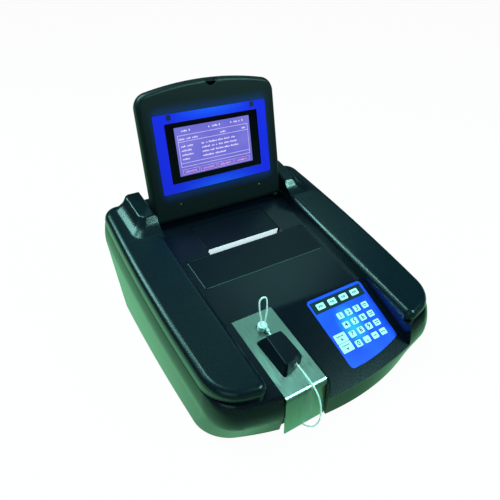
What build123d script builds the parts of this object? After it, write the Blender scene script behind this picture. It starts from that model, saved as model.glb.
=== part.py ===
from build123d import *
import os
from math import acos, atan2, cos, hypot, radians, sin, sqrt, tan

os.makedirs("parts", exist_ok=True)

# Bench photometer with a flip-up display, a built-in strip printer, a membrane
# keypad and a steel sampling plate. Millimetres, X to the right, Y to the back,
# Z up. The origin is on the table under the middle of the case.

# Case
foot_height = 4.0
half_depth = 171.0
wall = 3.0
deck_wall = 4.5
deck_slope = 14.18
deck_mid = 98.9
shoulder_rise = 15.0
shoulder_round = 9.0
shoulder_setback = 6.0
shoulder_corner = 45.0
shoulder_inner_corner = 11.0
shoulder_seat = 6.0
shoulder_ledge = 0.35
shoulder_skin = 6.0
trench_half_width = 103.0
trench_back_wall = 26.6
trench_end = half_depth - trench_back_wall
pan_gap = 0.4
pan_floor = 2.0
pan_flange = 10.0
pan_notch_y = -152.0

# Outlines of the case in plan: half width at the front, place of the front, its
# radius, corner radius, half width and place of the bulge, half width at the back
base_outline = dict(half_w=164.5, front=-169.5, front_r=320.0, corner=47.0,
                    mid_w=156.0, mid_y=40.0, rear_w=144.0, rear_corner=30.0)
belt_outline = dict(half_w=164.0, front=-171.4, front_r=560.0, corner=42.0,
                    mid_w=166.0, mid_y=30.0, rear_w=158.0, rear_corner=24.0)
# Roll of the wall from the belt to the deck: drop below the deck, inset of the outline
wall_profile = [(29.0, 1.0), (24.0, 0.25), (19.0, 0.0), (14.0, 0.35), (9.0, 1.15),
                (3.0, 2.4), (0.0, 5.2)]

# Keypad facet, steeper than the deck
facet_fold = -68.0
facet_slope = 26.9
facet_left = -33.5
facet_wall = 6.5
overlay_top_left = (7.5, -1.7)
overlay_top_right = (97.0, -1.7)
overlay_low_right = (96.5, -87.2)
overlay_low_middle = (50.0, -97.4)
overlay_low_left = (12.0, -98.7)
overlay_corner = 5.0
overlay_stand = 0.3
key_pocket = 2.4
key_backing = 0.9
key_gap = 0.25
key_stand = 0.7
key_corner = 1.0
key_travel = 0.4
key_rest_gap = 0.1
digit_key = (9.0, 8.2)
digit_pitch = (13.67, 13.41)
digit_first = (40.2, 35.0)
soft_key = (12.0, 8.2)
soft_pitch = 18.5
soft_first = (23.5, 14.0)
large_key = (17.0, 12.0)
large_first = (22.6, 60.3)
large_pitch = 12.7

# Sampling plate and trigger
plate_x = -63.4
plate_width = 55.0
plate_gap = 0.4
plate_rear = -59.0
plate_sheet = 1.2
plate_proud = 0.2
nose_front = -166.2
nose_round = 6.0
nose_lip = 2.2
well_s = -81.6
well_hole_r = 7.0
trigger_sheet = 1.5
trigger_face = -164.6
trigger_low = 4.8
trigger_high = 49.8
trigger_pivot_y = -159.6
trigger_pivot_z = 46.0
trigger_rod_r = 1.5
trigger_rod_clearance = 0.05
trigger_knuckle_r = 3.5
trigger_window_top = 50.5
trigger_wall_depth = 21.0
trigger_side_gap = 0.8

# Light shield over the sampling line
shield_height = 13.0

# Display lid
pivot_s = 130.3
pivot_depth = 10.0
closed_gap = 1.2
lid_lean = 10.45
lid_half_width = 102.0
lid_bottom = -8.0
lid_top = 170.0
lid_top_r = 435.0
lid_corner = 20.0
lid_front_depth = 6.5
lid_depth = 18.0
lid_front_round = 6.0
lid_back_round = 8.0
lid_skin = 2.5
lid_notch_r = 10.5
lid_notch_x = 5.0
hinge_pin_r = 3.0
hinge_clearance = 0.05
hinge_reach = 17.0
hinge_boss = 16.0
bezel_half_width = 84.5
bezel_low = 30.0
bezel_high = 132.4
bezel_sheet = 0.6
window_half_width = 70.0
window_low = 42.0
window_high = 120.5
lcd_setback = 1.5
lcd_depth = 7.0
lcd_margin = 4.0
bumper_x = 62.4
bumper_v = 130.0
bumper_size = (5.0, 6.5, 0.9)
lid_screw_v = 14.3
lid_screw_x = 62.8

# Printer bay
door_half_width = 92.5
door_front = -0.9
door_rear = 50.6
door_sheet = 3.0
door_rest_gap = 0.2
door_gap = 0.7
door_corner = 4.0
door_pivot_inset = 2.5
door_pin_r = 0.8
door_pin_clearance = 0.05
door_pin_reach = 4.0
door_ledge = 3.0
door_ledge_front = 6.0
slot_half_width = 57.0
slot_end = 59.1
bay_panel_half_width = 57.5
bay_panel_end = 108.0
panel_gap = 0.4
paper_width = 110.8
paper_sheet = 0.3
paper_gap = 0.35
roll_r = 25.0
roll_core_r = 9.0
roll_s = 21.0
roll_h = -33.0
platen_r = 6.0
platen_s = 52.2
platen_h = -13.5
platen_width = 112.0
spindle_r = 2.5
spindle_clearance = 0.05
frame_side = 2.0
frame_floor_h = -60.0

# Back of the case
rear_window = (170.0, 62.0)
rear_window_z = 44.0
rear_sheet = 1.5
rear_lap = 4.0
entry_x = 42.0
entry_z = 46.0
port_x = -45.0
port_z = 46.0

slope = radians(deck_slope)
lean = radians(lid_lean)
steep = radians(facet_slope)


def parallel(rise):
    """Plane parallel to the deck that lies rise above it, with its origin over the case's."""
    return Plane(origin=(0, 0, deck_mid + rise / cos(slope)), x_dir=(1, 0, 0),
                 z_dir=(0, -sin(slope), cos(slope)))


deck = parallel(0)


def deck_z(y):
    """Height of the deck at a place in plan."""
    return deck_mid + y * tan(slope)


def on_deck(x, s, h):
    """Point h off the deck, square to it, s along the slope from the case's middle."""
    return deck.from_local_coords((x, s, h))


def section(x):
    """Plane square to the X axis whose first axis runs up the deck and second off it."""
    return Plane(origin=(x, 0, deck_mid), x_dir=(0, cos(slope), sin(slope)), z_dir=(1, 0, 0))


def case_outline(plane, stretch=1.0, inset=0.0, skin=0.0, setback=0.0, half_w=0, front=0, front_r=0,
                 corner=0, mid_w=0, mid_y=0, rear_w=0, rear_corner=0):
    """Bowed front, slightly bulging sides and a straight back, on one plane."""
    trim = inset + skin
    width = half_w - trim
    nose = front + trim + setback
    bow = front_r - trim
    corner_y = nose + bow - sqrt(bow * bow - width * width)
    back = half_depth - skin
    with BuildSketch(plane) as sketch:
        with BuildLine():
            ThreePointArc((-width, corner_y * stretch), (0, nose * stretch), (width, corner_y * stretch))
            ThreePointArc((width, corner_y * stretch), (mid_w - trim, mid_y * stretch),
                          (rear_w - trim, back * stretch))
            Line((rear_w - trim, back * stretch), (trim - rear_w, back * stretch))
            ThreePointArc((trim - rear_w, back * stretch), (trim - mid_w, mid_y * stretch),
                          (-width, corner_y * stretch))
        make_face()
        fillet(sketch.vertices().group_by(Axis.Y)[0], corner - trim)
        fillet(sketch.vertices().group_by(Axis.Y)[-1], rear_corner - trim)
    return sketch.sketch


slant = 1 / cos(slope)


def facet_plane(drop=0.0):
    """Plane of the keypad facet, its origin on the fold, lowered square to itself."""
    normal = Vector(0, -sin(steep), cos(steep))
    return Plane(origin=Vector(0, facet_fold, deck_z(facet_fold)) - normal * drop, x_dir=(1, 0, 0),
                 z_dir=normal)


def overlay_outline(plane, inset=0.0):
    """Outline of the keypad on one plane of the facet."""
    with BuildSketch(plane) as sketch:
        with BuildLine():
            Line(overlay_low_left, overlay_top_left)
            Line(overlay_top_left, overlay_top_right)
            Line(overlay_top_right, overlay_low_right)
            ThreePointArc(overlay_low_right, overlay_low_middle, overlay_low_left)
        make_face()
        fillet(sketch.vertices(), overlay_corner)
        if inset:
            offset(amount=-inset)
    return sketch.sketch


def facet_wedge(drop, left, right):
    """Space above the keypad facet, in front of the fold."""
    run = half_depth + 40
    fold_y = facet_fold + drop * (1 - cos(steep - slope)) / sin(steep - slope)
    with BuildPart() as wedge:
        with BuildSketch(Plane.YZ.offset(left)):
            with BuildLine():
                start = (fold_y, deck_z(fold_y) - drop / cos(slope))
                Polyline(start, (fold_y - run, start[1] - run * tan(steep)),
                         (fold_y - run, start[1] + run), (fold_y, start[1] + run), close=True)
            make_face()
        extrude(amount=right - left)
    return wedge.part


post_places = [(-112, -112), (112, -112), (-118, 118), (118, 118)]
post_r = 5.0
screw_r = 1.75
screw_depth = 12.0

# Sheet-metal pan that closes the case from below
with BuildPart() as base_pan:
    with BuildSketch(Plane.XY.offset(foot_height)) as pan_outline:
        add(case_outline(Plane.XY, skin=wall + pan_gap, **base_outline))
    extrude(amount=pan_flange)
    pan_inner = case_outline(Plane.XY.offset(foot_height + pan_floor), skin=wall + pan_gap + 1.5,
                             **base_outline)
    extrude(pan_inner, amount=pan_flange, mode=Mode.SUBTRACT)
    with Locations((0, half_depth - wall, foot_height + pan_floor + pan_flange / 2)):
        Box(rear_window[0] + 2 * rear_lap + 1, 12, pan_flange, mode=Mode.SUBTRACT)
    for x, y in post_places:
        with Locations((x, y, foot_height)):
            Cylinder(screw_r, 4 * pan_floor, mode=Mode.SUBTRACT)
    with Locations((plate_x, pan_notch_y, foot_height)):
        Box(plate_width + 2 * plate_gap + 2, 40, 3 * pan_flange, align=(Align.CENTER, Align.MAX, Align.CENTER),
            mode=Mode.SUBTRACT)
        Box(plate_width + 2 * plate_gap + 2, 1.5, pan_flange, align=(Align.CENTER, Align.MIN, Align.MIN))

# Moulded cover: bowed walls, sloping deck, raised shoulders and hinge pods
with BuildPart() as cover_walls:
    rings = [case_outline(Plane.XY.offset(foot_height), **base_outline)]
    for drop, inset in wall_profile:
        rings.append(case_outline(parallel(-drop), stretch=slant, inset=inset, **belt_outline))
    loft(rings, ruled=True)

shoulder_plan = dict(belt_outline, corner=shoulder_corner)
seat_inset = wall_profile[-2][1] + shoulder_ledge
shoulder_depth = shoulder_seat + shoulder_rise
with BuildPart() as shoulders:
    with BuildSketch(parallel(-shoulder_seat)):
        add(case_outline(Plane.XY, stretch=slant, inset=seat_inset, setback=shoulder_setback, **shoulder_plan))
        with Locations((0, trench_end - 2 * half_depth)):
            Rectangle(2 * trench_half_width, 4 * half_depth, mode=Mode.SUBTRACT)
    extrude(amount=shoulder_depth)
    inner_corners = [edge for edge in shoulders.edges()
                     if abs(edge.center().X) < trench_half_width + 4
                     and edge.center().Y < belt_outline["front"] + 40
                     and edge.length < shoulder_depth * 1.2 and edge.length > shoulder_depth * 0.9]
    fillet(inner_corners, shoulder_inner_corner)
    top_edges = [edge for edge in shoulders.edges()
                 if abs(deck.to_local_coords(edge.center()).Z - shoulder_rise) < 0.2]
    fillet(top_edges, shoulder_round)

pod_back = half_depth - 10
pod_rise = 30.0
pod_round = 4.0
# flared foot and upright wall: height above the deck, front, outer side, corner radius
pod_levels = [(13.0, 85.0, 145.0, 13.0), (16.0, 91.5, 139.0, 12.0), (19.0, 97.0, 133.5, 11.0),
              (22.0, 101.5, 129.5, 10.0), (30.0, 107.5, 124.5, 9.0)]
with BuildPart() as pods:
    for side in (-1, 1):
        for level, front, outer_side, corner in pod_levels:
            width = outer_side - trench_half_width
            length = (pod_back - front) * slant
            with BuildSketch(parallel(level)) as pod_sketch:
                with Locations((side * (trench_half_width + width / 2), (pod_back + front) / 2 * slant)):
                    Rectangle(width, length)
                outer = [v for v in pod_sketch.vertices() if abs(v.X) > trench_half_width + 5]
                fillet(outer, corner)
        loft(ruled=True)
    crown_edges = [edge for edge in pods.edges()
                   if abs(deck.to_local_coords(edge.center()).Z - pod_rise) < 0.2]
    fillet(crown_edges, pod_round)

pivot = on_deck(0, pivot_s, pivot_depth + closed_gap)
bay_front = door_front - door_gap
pocket_half = plate_width / 2 + plate_gap
door_axis = on_deck(0, door_front + door_pivot_inset, -door_sheet / 2)

with BuildPart() as top_cover:
    add(cover_walls.part)
    add(shoulders.part)
    add(pods.part)
    add(facet_wedge(0, facet_left, trench_half_width), mode=Mode.SUBTRACT)
    with BuildPart(mode=Mode.PRIVATE) as hollow:
        hollow_rings = [case_outline(Plane.XY.offset(foot_height), skin=wall, **base_outline)]
        for drop, inset in wall_profile[:-2:2] + [(deck_wall, seat_inset)]:
            hollow_rings.append(case_outline(parallel(-drop), stretch=slant, inset=inset, skin=wall,
                                             **belt_outline))
        loft(hollow_rings, ruled=True)
        add(facet_wedge(facet_wall, facet_left - wall, trench_half_width + wall),
            mode=Mode.SUBTRACT)
        with Locations(Pos(plate_x, -half_depth, foot_height + pan_flange + 1)):
            Box(plate_width + 2 * (plate_gap + wall), 2 * trigger_wall_depth, deck_mid,
                align=(Align.CENTER, Align.CENTER, Align.MIN), mode=Mode.SUBTRACT)
    add(hollow.part, mode=Mode.SUBTRACT)
    with BuildSketch(parallel(-deck_wall)) as shoulder_core:
        add(case_outline(Plane.XY, stretch=slant, inset=seat_inset, skin=shoulder_skin,
                         setback=shoulder_setback, **shoulder_plan))
        with Locations((0, 0)):
            Rectangle(2 * (trench_half_width + shoulder_skin), 3 * half_depth, mode=Mode.SUBTRACT)
        with Locations((0, half_depth + pod_levels[0][1] * slant - 6)):
            Rectangle(3 * half_depth, 2 * half_depth, mode=Mode.SUBTRACT)
    extrude(amount=deck_wall + shoulder_rise - shoulder_skin, mode=Mode.SUBTRACT)
    for x, y in post_places:
        post_top = deck_z(y) + shoulder_rise - shoulder_skin + 1
        with Locations((x, y, foot_height + pan_floor)):
            Cylinder(post_r, post_top - foot_height - pan_floor,
                     align=(Align.CENTER, Align.CENTER, Align.MIN))
            Cylinder(screw_r, screw_depth, align=(Align.CENTER, Align.CENTER, Align.MIN),
                     mode=Mode.SUBTRACT)
    # printer bay: pockets for the door and the fixed panel, then the openings inside them
    with BuildSketch(deck.offset(-door_sheet - door_rest_gap)):
        with Locations((0, (bay_front + door_rear + door_gap) / 2)):
            RectangleRounded(2 * (door_half_width + door_gap), door_rear + door_gap - bay_front, door_corner)
        with Locations((0, (door_rear + bay_panel_end + panel_gap) / 2)):
            Rectangle(2 * (bay_panel_half_width + panel_gap), bay_panel_end + panel_gap - door_rear)
    extrude(amount=2 * door_sheet, mode=Mode.SUBTRACT)
    with BuildSketch(deck.offset(-3 * deck_wall)):
        with Locations((0, (bay_front + door_ledge_front) / 2)):
            Rectangle(2 * (door_half_width + door_gap), door_ledge_front - bay_front)
        with Locations((0, (door_ledge_front + door_rear + door_gap) / 2)):
            Rectangle(2 * (door_half_width - door_ledge), door_rear + door_gap - door_ledge_front)
        with Locations((0, (door_rear + slot_end) / 2)):
            Rectangle(2 * slot_half_width, slot_end - door_rear)
        with Locations((0, (slot_end + bay_panel_end - door_ledge) / 2)):
            Rectangle(2 * (bay_panel_half_width - door_ledge), bay_panel_end - door_ledge - slot_end)
    extrude(amount=5 * deck_wall, mode=Mode.SUBTRACT)
    with Locations(Plane(origin=door_axis, z_dir=(1, 0, 0))):
        Cylinder(door_pin_r, 2 * (door_half_width + door_gap + door_pin_reach), mode=Mode.SUBTRACT)
    # seat of the steel plate, window of the trigger and hole of the well
    with BuildSketch(deck.offset(plate_proud - plate_sheet)):
        with Locations((plate_x, (plate_rear + plate_gap - 2 * half_depth) / 2)):
            Rectangle(2 * pocket_half, 2 * half_depth + plate_rear + plate_gap)
    extrude(amount=6, mode=Mode.SUBTRACT)
    with Locations(Pos(plate_x, nose_front + nose_round - 1, 0)):
        Box(2 * pocket_half, 40, 3 * deck_mid, align=(Align.CENTER, Align.MAX, Align.CENTER),
            mode=Mode.SUBTRACT)
    with Locations(Pos(plate_x, nose_front + trigger_wall_depth, 0)):
        Box(2 * pocket_half, 2 * trigger_wall_depth + 10, 2 * trigger_window_top, mode=Mode.SUBTRACT)
    with Locations(Plane(origin=(plate_x, trigger_pivot_y, trigger_pivot_z), z_dir=(1, 0, 0))):
        Cylinder(trigger_rod_r, plate_width + 2 * (plate_gap + wall), mode=Mode.SUBTRACT)
    with Locations(deck.offset(-deck_wall) * Pos(plate_x, well_s, 0)):
        Cylinder(well_hole_r, 4 * deck_wall, mode=Mode.SUBTRACT)
    # pocket of the keypad
    extrude(overlay_outline(facet_plane(key_pocket)), amount=2 * key_pocket, mode=Mode.SUBTRACT)
    # hinge bores in the pods
    with Locations(Plane(origin=pivot, z_dir=(1, 0, 0))):
        Cylinder(hinge_pin_r, 2 * (trench_half_width + hinge_reach), mode=Mode.SUBTRACT)
    # window of the rear panel
    with Locations((0, half_depth, rear_window_z)):
        Box(rear_window[0], 4 * wall, rear_window[1], mode=Mode.SUBTRACT)

base_pan.part.label = "base_pan"
export_step(base_pan.part, "parts/base_pan.step")
top_cover.part.label = "top_cover"
export_step(top_cover.part, "parts/top_cover.step")

# Feet and screws under the pan
foot_places = [(-128, -88), (128, -88), (-126, 142), (126, 142)]
with BuildPart() as rubber_feet:
    for place in foot_places:
        with Locations(place):
            Cylinder(8, foot_height, align=(Align.CENTER, Align.CENTER, Align.MIN))
    fillet(rubber_feet.edges().group_by(Axis.Z)[0], 1.2)
rubber_feet.part.label = "rubber_feet"
export_step(rubber_feet.part, "parts/rubber_feet.step")

with BuildPart() as case_screws:
    for x, y in post_places:
        with Locations((x, y, foot_height)):
            Cylinder(3.5, 2, align=(Align.CENTER, Align.CENTER, Align.MAX))
            Cylinder(screw_r - 0.25, screw_depth, align=(Align.CENTER, Align.CENTER, Align.MIN))
    for x, y in post_places:
        with Locations((x, y, foot_height - 2)):
            Box(5.2, 0.9, 1.6, mode=Mode.SUBTRACT)
            Box(0.9, 5.2, 1.6, mode=Mode.SUBTRACT)
case_screws.part.label = "case_screws"
export_step(case_screws.part, "parts/case_screws.step")

# Back panel with its power entry, switch and data socket
entry_hole = (56.0, 24.0)
port_hole = (18.0, 9.0)
panel_inner = half_depth - wall - rear_sheet
with BuildPart() as rear_panel:
    with Locations((0, half_depth - wall, rear_window_z)):
        Box(rear_window[0] + 2 * rear_lap, rear_sheet, rear_window[1] + 2 * rear_lap,
            align=(Align.CENTER, Align.MAX, Align.CENTER))
    with Locations((entry_x, half_depth - wall, entry_z)):
        Box(entry_hole[0], 4 * rear_sheet, entry_hole[1], mode=Mode.SUBTRACT)
    with Locations((port_x, half_depth - wall, port_z)):
        Box(port_hole[0], 4 * rear_sheet, port_hole[1], mode=Mode.SUBTRACT)
    for row in (-2, -1, 0, 1, 2):
        with Locations(Pos(-5, half_depth - wall, 24 + 3.5 * row)):
            Box(44, 4 * rear_sheet, 1.6, mode=Mode.SUBTRACT)
rear_panel.part.label = "rear_panel"
export_step(rear_panel.part, "parts/rear_panel.step")

entry_body_depth = 24.0
entry_flange = 2.0
rocker_x = entry_x - 17.0
inlet_x = entry_x + 10.0
rocker_size = (13.0, 19.0)
rocker_gap = 0.5
rocker_tilt = 8.0
rocker_axis_y = half_depth - wall - 2.0
with BuildPart() as power_inlet:
    with Locations((entry_x, half_depth - wall, entry_z)):
        Box(entry_hole[0] + 6, entry_flange, entry_hole[1] + 5,
            align=(Align.CENTER, Align.MIN, Align.CENTER))
    with Locations((entry_x, half_depth - wall, entry_z)):
        Box(entry_hole[0] - 0.6, entry_body_depth, entry_hole[1] - 0.6,
            align=(Align.CENTER, Align.MAX, Align.CENTER))
    with Locations((inlet_x, half_depth - wall + entry_flange, entry_z)):
        Box(25, 16, 17, align=(Align.CENTER, Align.MAX, Align.CENTER), mode=Mode.SUBTRACT)
    for dx, dz in ((-7, 2), (7, 2), (0, -2)):
        with Locations((inlet_x + dx, half_depth - wall - 4, entry_z + dz)):
            Box(2, 12, 4, align=(Align.CENTER, Align.MAX, Align.CENTER))
    with Locations((rocker_x, half_depth - wall + entry_flange, entry_z)):
        Box(rocker_size[0] + 2 * rocker_gap, 15, rocker_size[1] + 2 * rocker_gap,
            align=(Align.CENTER, Align.MAX, Align.CENTER), mode=Mode.SUBTRACT)
    with Locations(Plane(origin=(rocker_x, rocker_axis_y, entry_z), z_dir=(1, 0, 0))):
        Cylinder(1.5, rocker_size[0] + 6, mode=Mode.SUBTRACT)
power_inlet.part.label = "power_inlet"
export_step(power_inlet.part, "parts/power_inlet.step")

with BuildPart() as rocker_switch:
    rocker_left = rocker_x - rocker_size[0] / 2
    with BuildSketch(Plane(origin=(rocker_left, rocker_axis_y, entry_z), z_dir=(1, 0, 0),
                           x_dir=(0, cos(radians(rocker_tilt)), -sin(radians(rocker_tilt))))):
        with BuildLine():
            top, low, reach = 3.9, -7.0, rocker_size[1] / 2 - 1.6
            Polyline((top, -reach), (2.7, 0), (top, reach), (low, 3), (low, -3), close=True)
        make_face()
    extrude(amount=rocker_size[0])
    with Locations(Plane(origin=(rocker_x, rocker_axis_y, entry_z), z_dir=(1, 0, 0))):
        Cylinder(1.45, rocker_size[0] + 4)
rocker_switch.part.label = "rocker_switch"
export_step(rocker_switch.part, "parts/rocker_switch.step")

with BuildPart() as serial_port:
    with Locations((port_x, panel_inner, port_z)):
        Box(31, 1.2, 12.5, align=(Align.CENTER, Align.MAX, Align.CENTER))
        Box(17, 9, 8, align=(Align.CENTER, Align.CENTER, Align.CENTER))
        Box(24, 12, 10, align=(Align.CENTER, Align.MAX, Align.CENTER))
    for row, count in ((1.4, 5), (-1.4, 4)):
        for index in range(count):
            with Locations(Pos(port_x + 2.7 * (index - (count - 1) / 2), panel_inner + 4.5, port_z + row)):
                Box(1.1, 6, 1.1, mode=Mode.SUBTRACT)
serial_port.part.label = "serial_port"
export_step(serial_port.part, "parts/serial_port.step")

# Circuit board and power supply on the pan
floor = foot_height + pan_floor
board = (-28.0, 100.0, -125.0, -35.0)
board_z = floor + 8
with BuildPart() as main_board:
    with Locations(((board[0] + board[1]) / 2, (board[2] + board[3]) / 2, board_z)):
        Box(board[1] - board[0], board[3] - board[2], 1.6, align=(Align.CENTER, Align.CENTER, Align.MIN))
    for x in (board[0] + 5, board[1] - 5):
        for y in (board[2] + 5, board[3] - 5):
            with Locations((x, y, floor)):
                Cylinder(3, 8, align=(Align.CENTER, Align.CENTER, Align.MIN))
    for x, y, size in ((10, -80, (28, 28, 3)), (50, -90, (20, 14, 3)), (80, -60, (16, 22, 4)),
                       (-10, -55, (12, 20, 8)), (45, -50, (34, 8, 9)), (15, -110, (22, 8, 3))):
        with Locations((x, y, board_z + 1.6)):
            Box(*size, align=(Align.CENTER, Align.CENTER, Align.MIN))
main_board.part.label = "main_board"
export_step(main_board.part, "parts/main_board.step")

with BuildPart() as power_supply:
    with Locations((62, 99, floor)):
        Box(86, 78, 36, align=(Align.CENTER, Align.CENTER, Align.MIN))
    fillet(power_supply.edges().filter_by(Axis.Z), 2)
    for row in range(7):
        with Locations(Pos(62, 75 + 8 * row, floor + 36)):
            Box(60, 3, 4, mode=Mode.SUBTRACT)
power_supply.part.label = "power_supply"
export_step(power_supply.part, "parts/power_supply.step")

# Steel sampling plate: flat on the deck, rolled over the front edge into a short lip
plate_top = plate_proud
nose_drop = nose_round * tan((radians(90) - slope) / 2)
with BuildPart() as sample_plate:
    with BuildSketch(Plane.YZ.offset(plate_x - plate_width / 2)):
        with BuildLine():
            near = deck.from_local_coords((0, plate_rear, plate_top))
            corner = (nose_front, near.Z - (near.Y - nose_front) * tan(slope))
            bend = FilletPolyline((near.Y, near.Z), corner, (nose_front, corner[1] - nose_drop - nose_lip),
                                  radius=nose_round)
            offset(bend, amount=plate_sheet, side=Side.LEFT, closed=True)
        make_face()
    extrude(amount=plate_width)
    with Locations(deck * Pos(plate_x, well_s, 0)):
        Cylinder(well_hole_r, 6, mode=Mode.SUBTRACT)
sample_plate.part.label = "sample_plate"
export_step(sample_plate.part, "parts/sample_plate.step")

# Trigger plate hung from a rod behind the lip, with its microswitch
trigger_width = 2 * (pocket_half - trigger_side_gap)
with BuildPart() as trigger_plate:
    with Locations((plate_x, trigger_face, (trigger_low + trigger_high) / 2)):
        Box(trigger_width, trigger_sheet, trigger_high - trigger_low,
            align=(Align.CENTER, Align.MIN, Align.CENTER))
    with Locations((plate_x, trigger_face + trigger_sheet / 2, trigger_pivot_z)):
        Box(trigger_width, trigger_pivot_y - trigger_face - trigger_sheet / 2, 2 * trigger_knuckle_r - 1,
            align=(Align.CENTER, Align.MIN, Align.CENTER))
    with Locations(Plane(origin=(plate_x, trigger_pivot_y, trigger_pivot_z), z_dir=(1, 0, 0))):
        Cylinder(trigger_knuckle_r, trigger_width)
        Cylinder(trigger_rod_r + trigger_rod_clearance, trigger_width, mode=Mode.SUBTRACT)
trigger_plate.part.label = "trigger_plate"
export_step(trigger_plate.part, "parts/trigger_plate.step")

with BuildPart() as trigger_switch:
    with Locations((plate_x, -147.0, floor)):
        Box(24, 8, 1.5, align=(Align.CENTER, Align.MIN, Align.MIN))
        Box(24, 1.5, 22, align=(Align.CENTER, Align.MIN, Align.MIN))
    with Locations((plate_x, -147.0, floor + 14)):
        Box(20, 8, 11, align=(Align.CENTER, Align.MAX, Align.CENTER))
    with Locations(Plane(origin=(plate_x, -155, floor + 14), z_dir=(0, -1, 0))):
        Cylinder(1.3, 6, align=(Align.CENTER, Align.CENTER, Align.MIN))
trigger_switch.part.label = "trigger_switch"
export_step(trigger_switch.part, "parts/trigger_switch.step")

# Flow cell in the well: white cap above the plate, flange under the deck
cap_r = 5.75
cap_top = 7.5
cell_low = -24.0
stub_h = 3.4
stub_end = well_s - 9.0
with BuildPart() as flow_cell:
    with Locations(deck * Pos(plate_x, well_s, -deck_wall)):
        Cylinder(cap_r, deck_wall + cap_top, align=(Align.CENTER, Align.CENTER, Align.MIN))
    fillet(flow_cell.edges().filter_by(GeomType.CIRCLE).sort_by(Axis.Z)[-1], 1.2)
    with Locations(deck * Pos(plate_x, well_s, -deck_wall)):
        Cylinder(9.5, 2, align=(Align.CENTER, Align.CENTER, Align.MAX))
    with Locations(deck * Pos(plate_x, well_s, cell_low)):
        Box(12, 12, -deck_wall - cell_low, align=(Align.CENTER, Align.CENTER, Align.MIN))
    with Locations(deck * Pos(plate_x + 2.4, stub_end, stub_h)):
        Box(3.6, 6, 3.6, align=(Align.CENTER, Align.MIN, Align.CENTER))
flow_cell.part.label = "flow_cell"
export_step(flow_cell.part, "parts/flow_cell.step")

# Photometer bench hung under the deck: block, lamp with its bulkhead, filter motor
bench_h = -33.0
block_half = (22.0, 17.0, 15.0)
with BuildPart() as optics_block:
    with Locations(deck * Pos(plate_x, well_s, bench_h)):
        Box(2 * block_half[0], 2 * block_half[1], 2 * block_half[2])
    with Locations(deck * Pos(plate_x, well_s, cell_low)):
        Box(12.4, 12.4, 30, align=(Align.CENTER, Align.CENTER, Align.MIN), mode=Mode.SUBTRACT)
    for dx in (-16, 16):
        for ds in (-12, 12):
            with Locations(deck * Pos(plate_x + dx, well_s + ds, -deck_wall)):
                Cylinder(4, bench_h * -1 - block_half[2] - deck_wall + 1,
                         align=(Align.CENTER, Align.CENTER, Align.MAX))
    with Locations(deck * Pos(plate_x, well_s, bench_h) * Rot(90, 0, 0)):
        Cylinder(3, 4 * block_half[1], mode=Mode.SUBTRACT)
optics_block.part.label = "optics_block"
export_step(optics_block.part, "parts/optics_block.step")

wheel_x = plate_x - 20.0
wheel_s = well_s - block_half[1] - 6.5
wheel_r = 25.0
bulkhead_s = wheel_s - 5.5
shaft_r = 1.5
block_front = well_s - block_half[1]
with BuildPart() as lamp_module:
    with Locations(deck * Pos(plate_x - 12, bulkhead_s, bench_h)):
        Box(52, 2, 34, align=(Align.CENTER, Align.MAX, Align.CENTER))
    for dx, dh in ((11, 12), (11, -12)):
        with Locations(deck * Pos(plate_x + dx, bulkhead_s, bench_h + dh)):
            Box(5, block_front - bulkhead_s, 5, align=(Align.CENTER, Align.MIN, Align.CENTER))
    with Locations(deck * Pos(plate_x, bulkhead_s - 2, bench_h) * Rot(90, 0, 0)):
        Cylinder(7, 24, align=(Align.CENTER, Align.CENTER, Align.MIN))
    with Locations(deck * Pos(plate_x, bulkhead_s, bench_h) * Rot(90, 0, 0)):
        Cylinder(3, 12, mode=Mode.SUBTRACT)
    with Locations(deck * Pos(wheel_x, bulkhead_s, bench_h) * Rot(90, 0, 0)):
        Cylinder(4, 12, mode=Mode.SUBTRACT)
lamp_module.part.label = "lamp_module"
export_step(lamp_module.part, "parts/lamp_module.step")

with BuildPart() as filter_motor:
    with Locations(deck * Pos(wheel_x, bulkhead_s - 2, bench_h) * Rot(90, 0, 0)):
        Cylinder(11, 20, align=(Align.CENTER, Align.CENTER, Align.MIN))
        Cylinder(shaft_r, 13, align=(Align.CENTER, Align.CENTER, Align.MAX))
filter_motor.part.label = "filter_motor"
export_step(filter_motor.part, "parts/filter_motor.step")

with BuildPart() as filter_wheel:
    with Locations(deck * Pos(wheel_x, wheel_s, bench_h) * Rot(90, 0, 0)):
        Cylinder(wheel_r, 3)
        Cylinder(5, 8)
        Cylinder(shaft_r + 0.05, 12, mode=Mode.SUBTRACT)
        with PolarLocations(20, 8):
            Cylinder(3.5, 12, mode=Mode.SUBTRACT)
filter_wheel.part.label = "filter_wheel"
export_step(filter_wheel.part, "parts/filter_wheel.step")

# Peristaltic pump on the pan
pump = (-126.0, -15.0, 30.0)
pump_depth = 26.0
pump_cavity_r = 19.0
pump_face = pump[0] + pump_depth / 2
with BuildPart() as pump_housing:
    with Locations((pump[0], pump[1], floor)):
        Box(pump_depth, 48, 2 * (pump[2] - floor), align=(Align.CENTER, Align.CENTER, Align.MIN))
    fillet(pump_housing.edges().filter_by(Axis.X).sort_by(Axis.Z)[-2:], 10)
    with Locations(Plane(origin=(pump_face, pump[1], pump[2]), z_dir=(1, 0, 0))):
        Cylinder(pump_cavity_r, 16, align=(Align.CENTER, Align.CENTER, Align.MAX), mode=Mode.SUBTRACT)
        Cylinder(3.05, 22, align=(Align.CENTER, Align.CENTER, Align.MAX), mode=Mode.SUBTRACT)
pump_housing.part.label = "pump_housing"
export_step(pump_housing.part, "parts/pump_housing.step")

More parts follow.
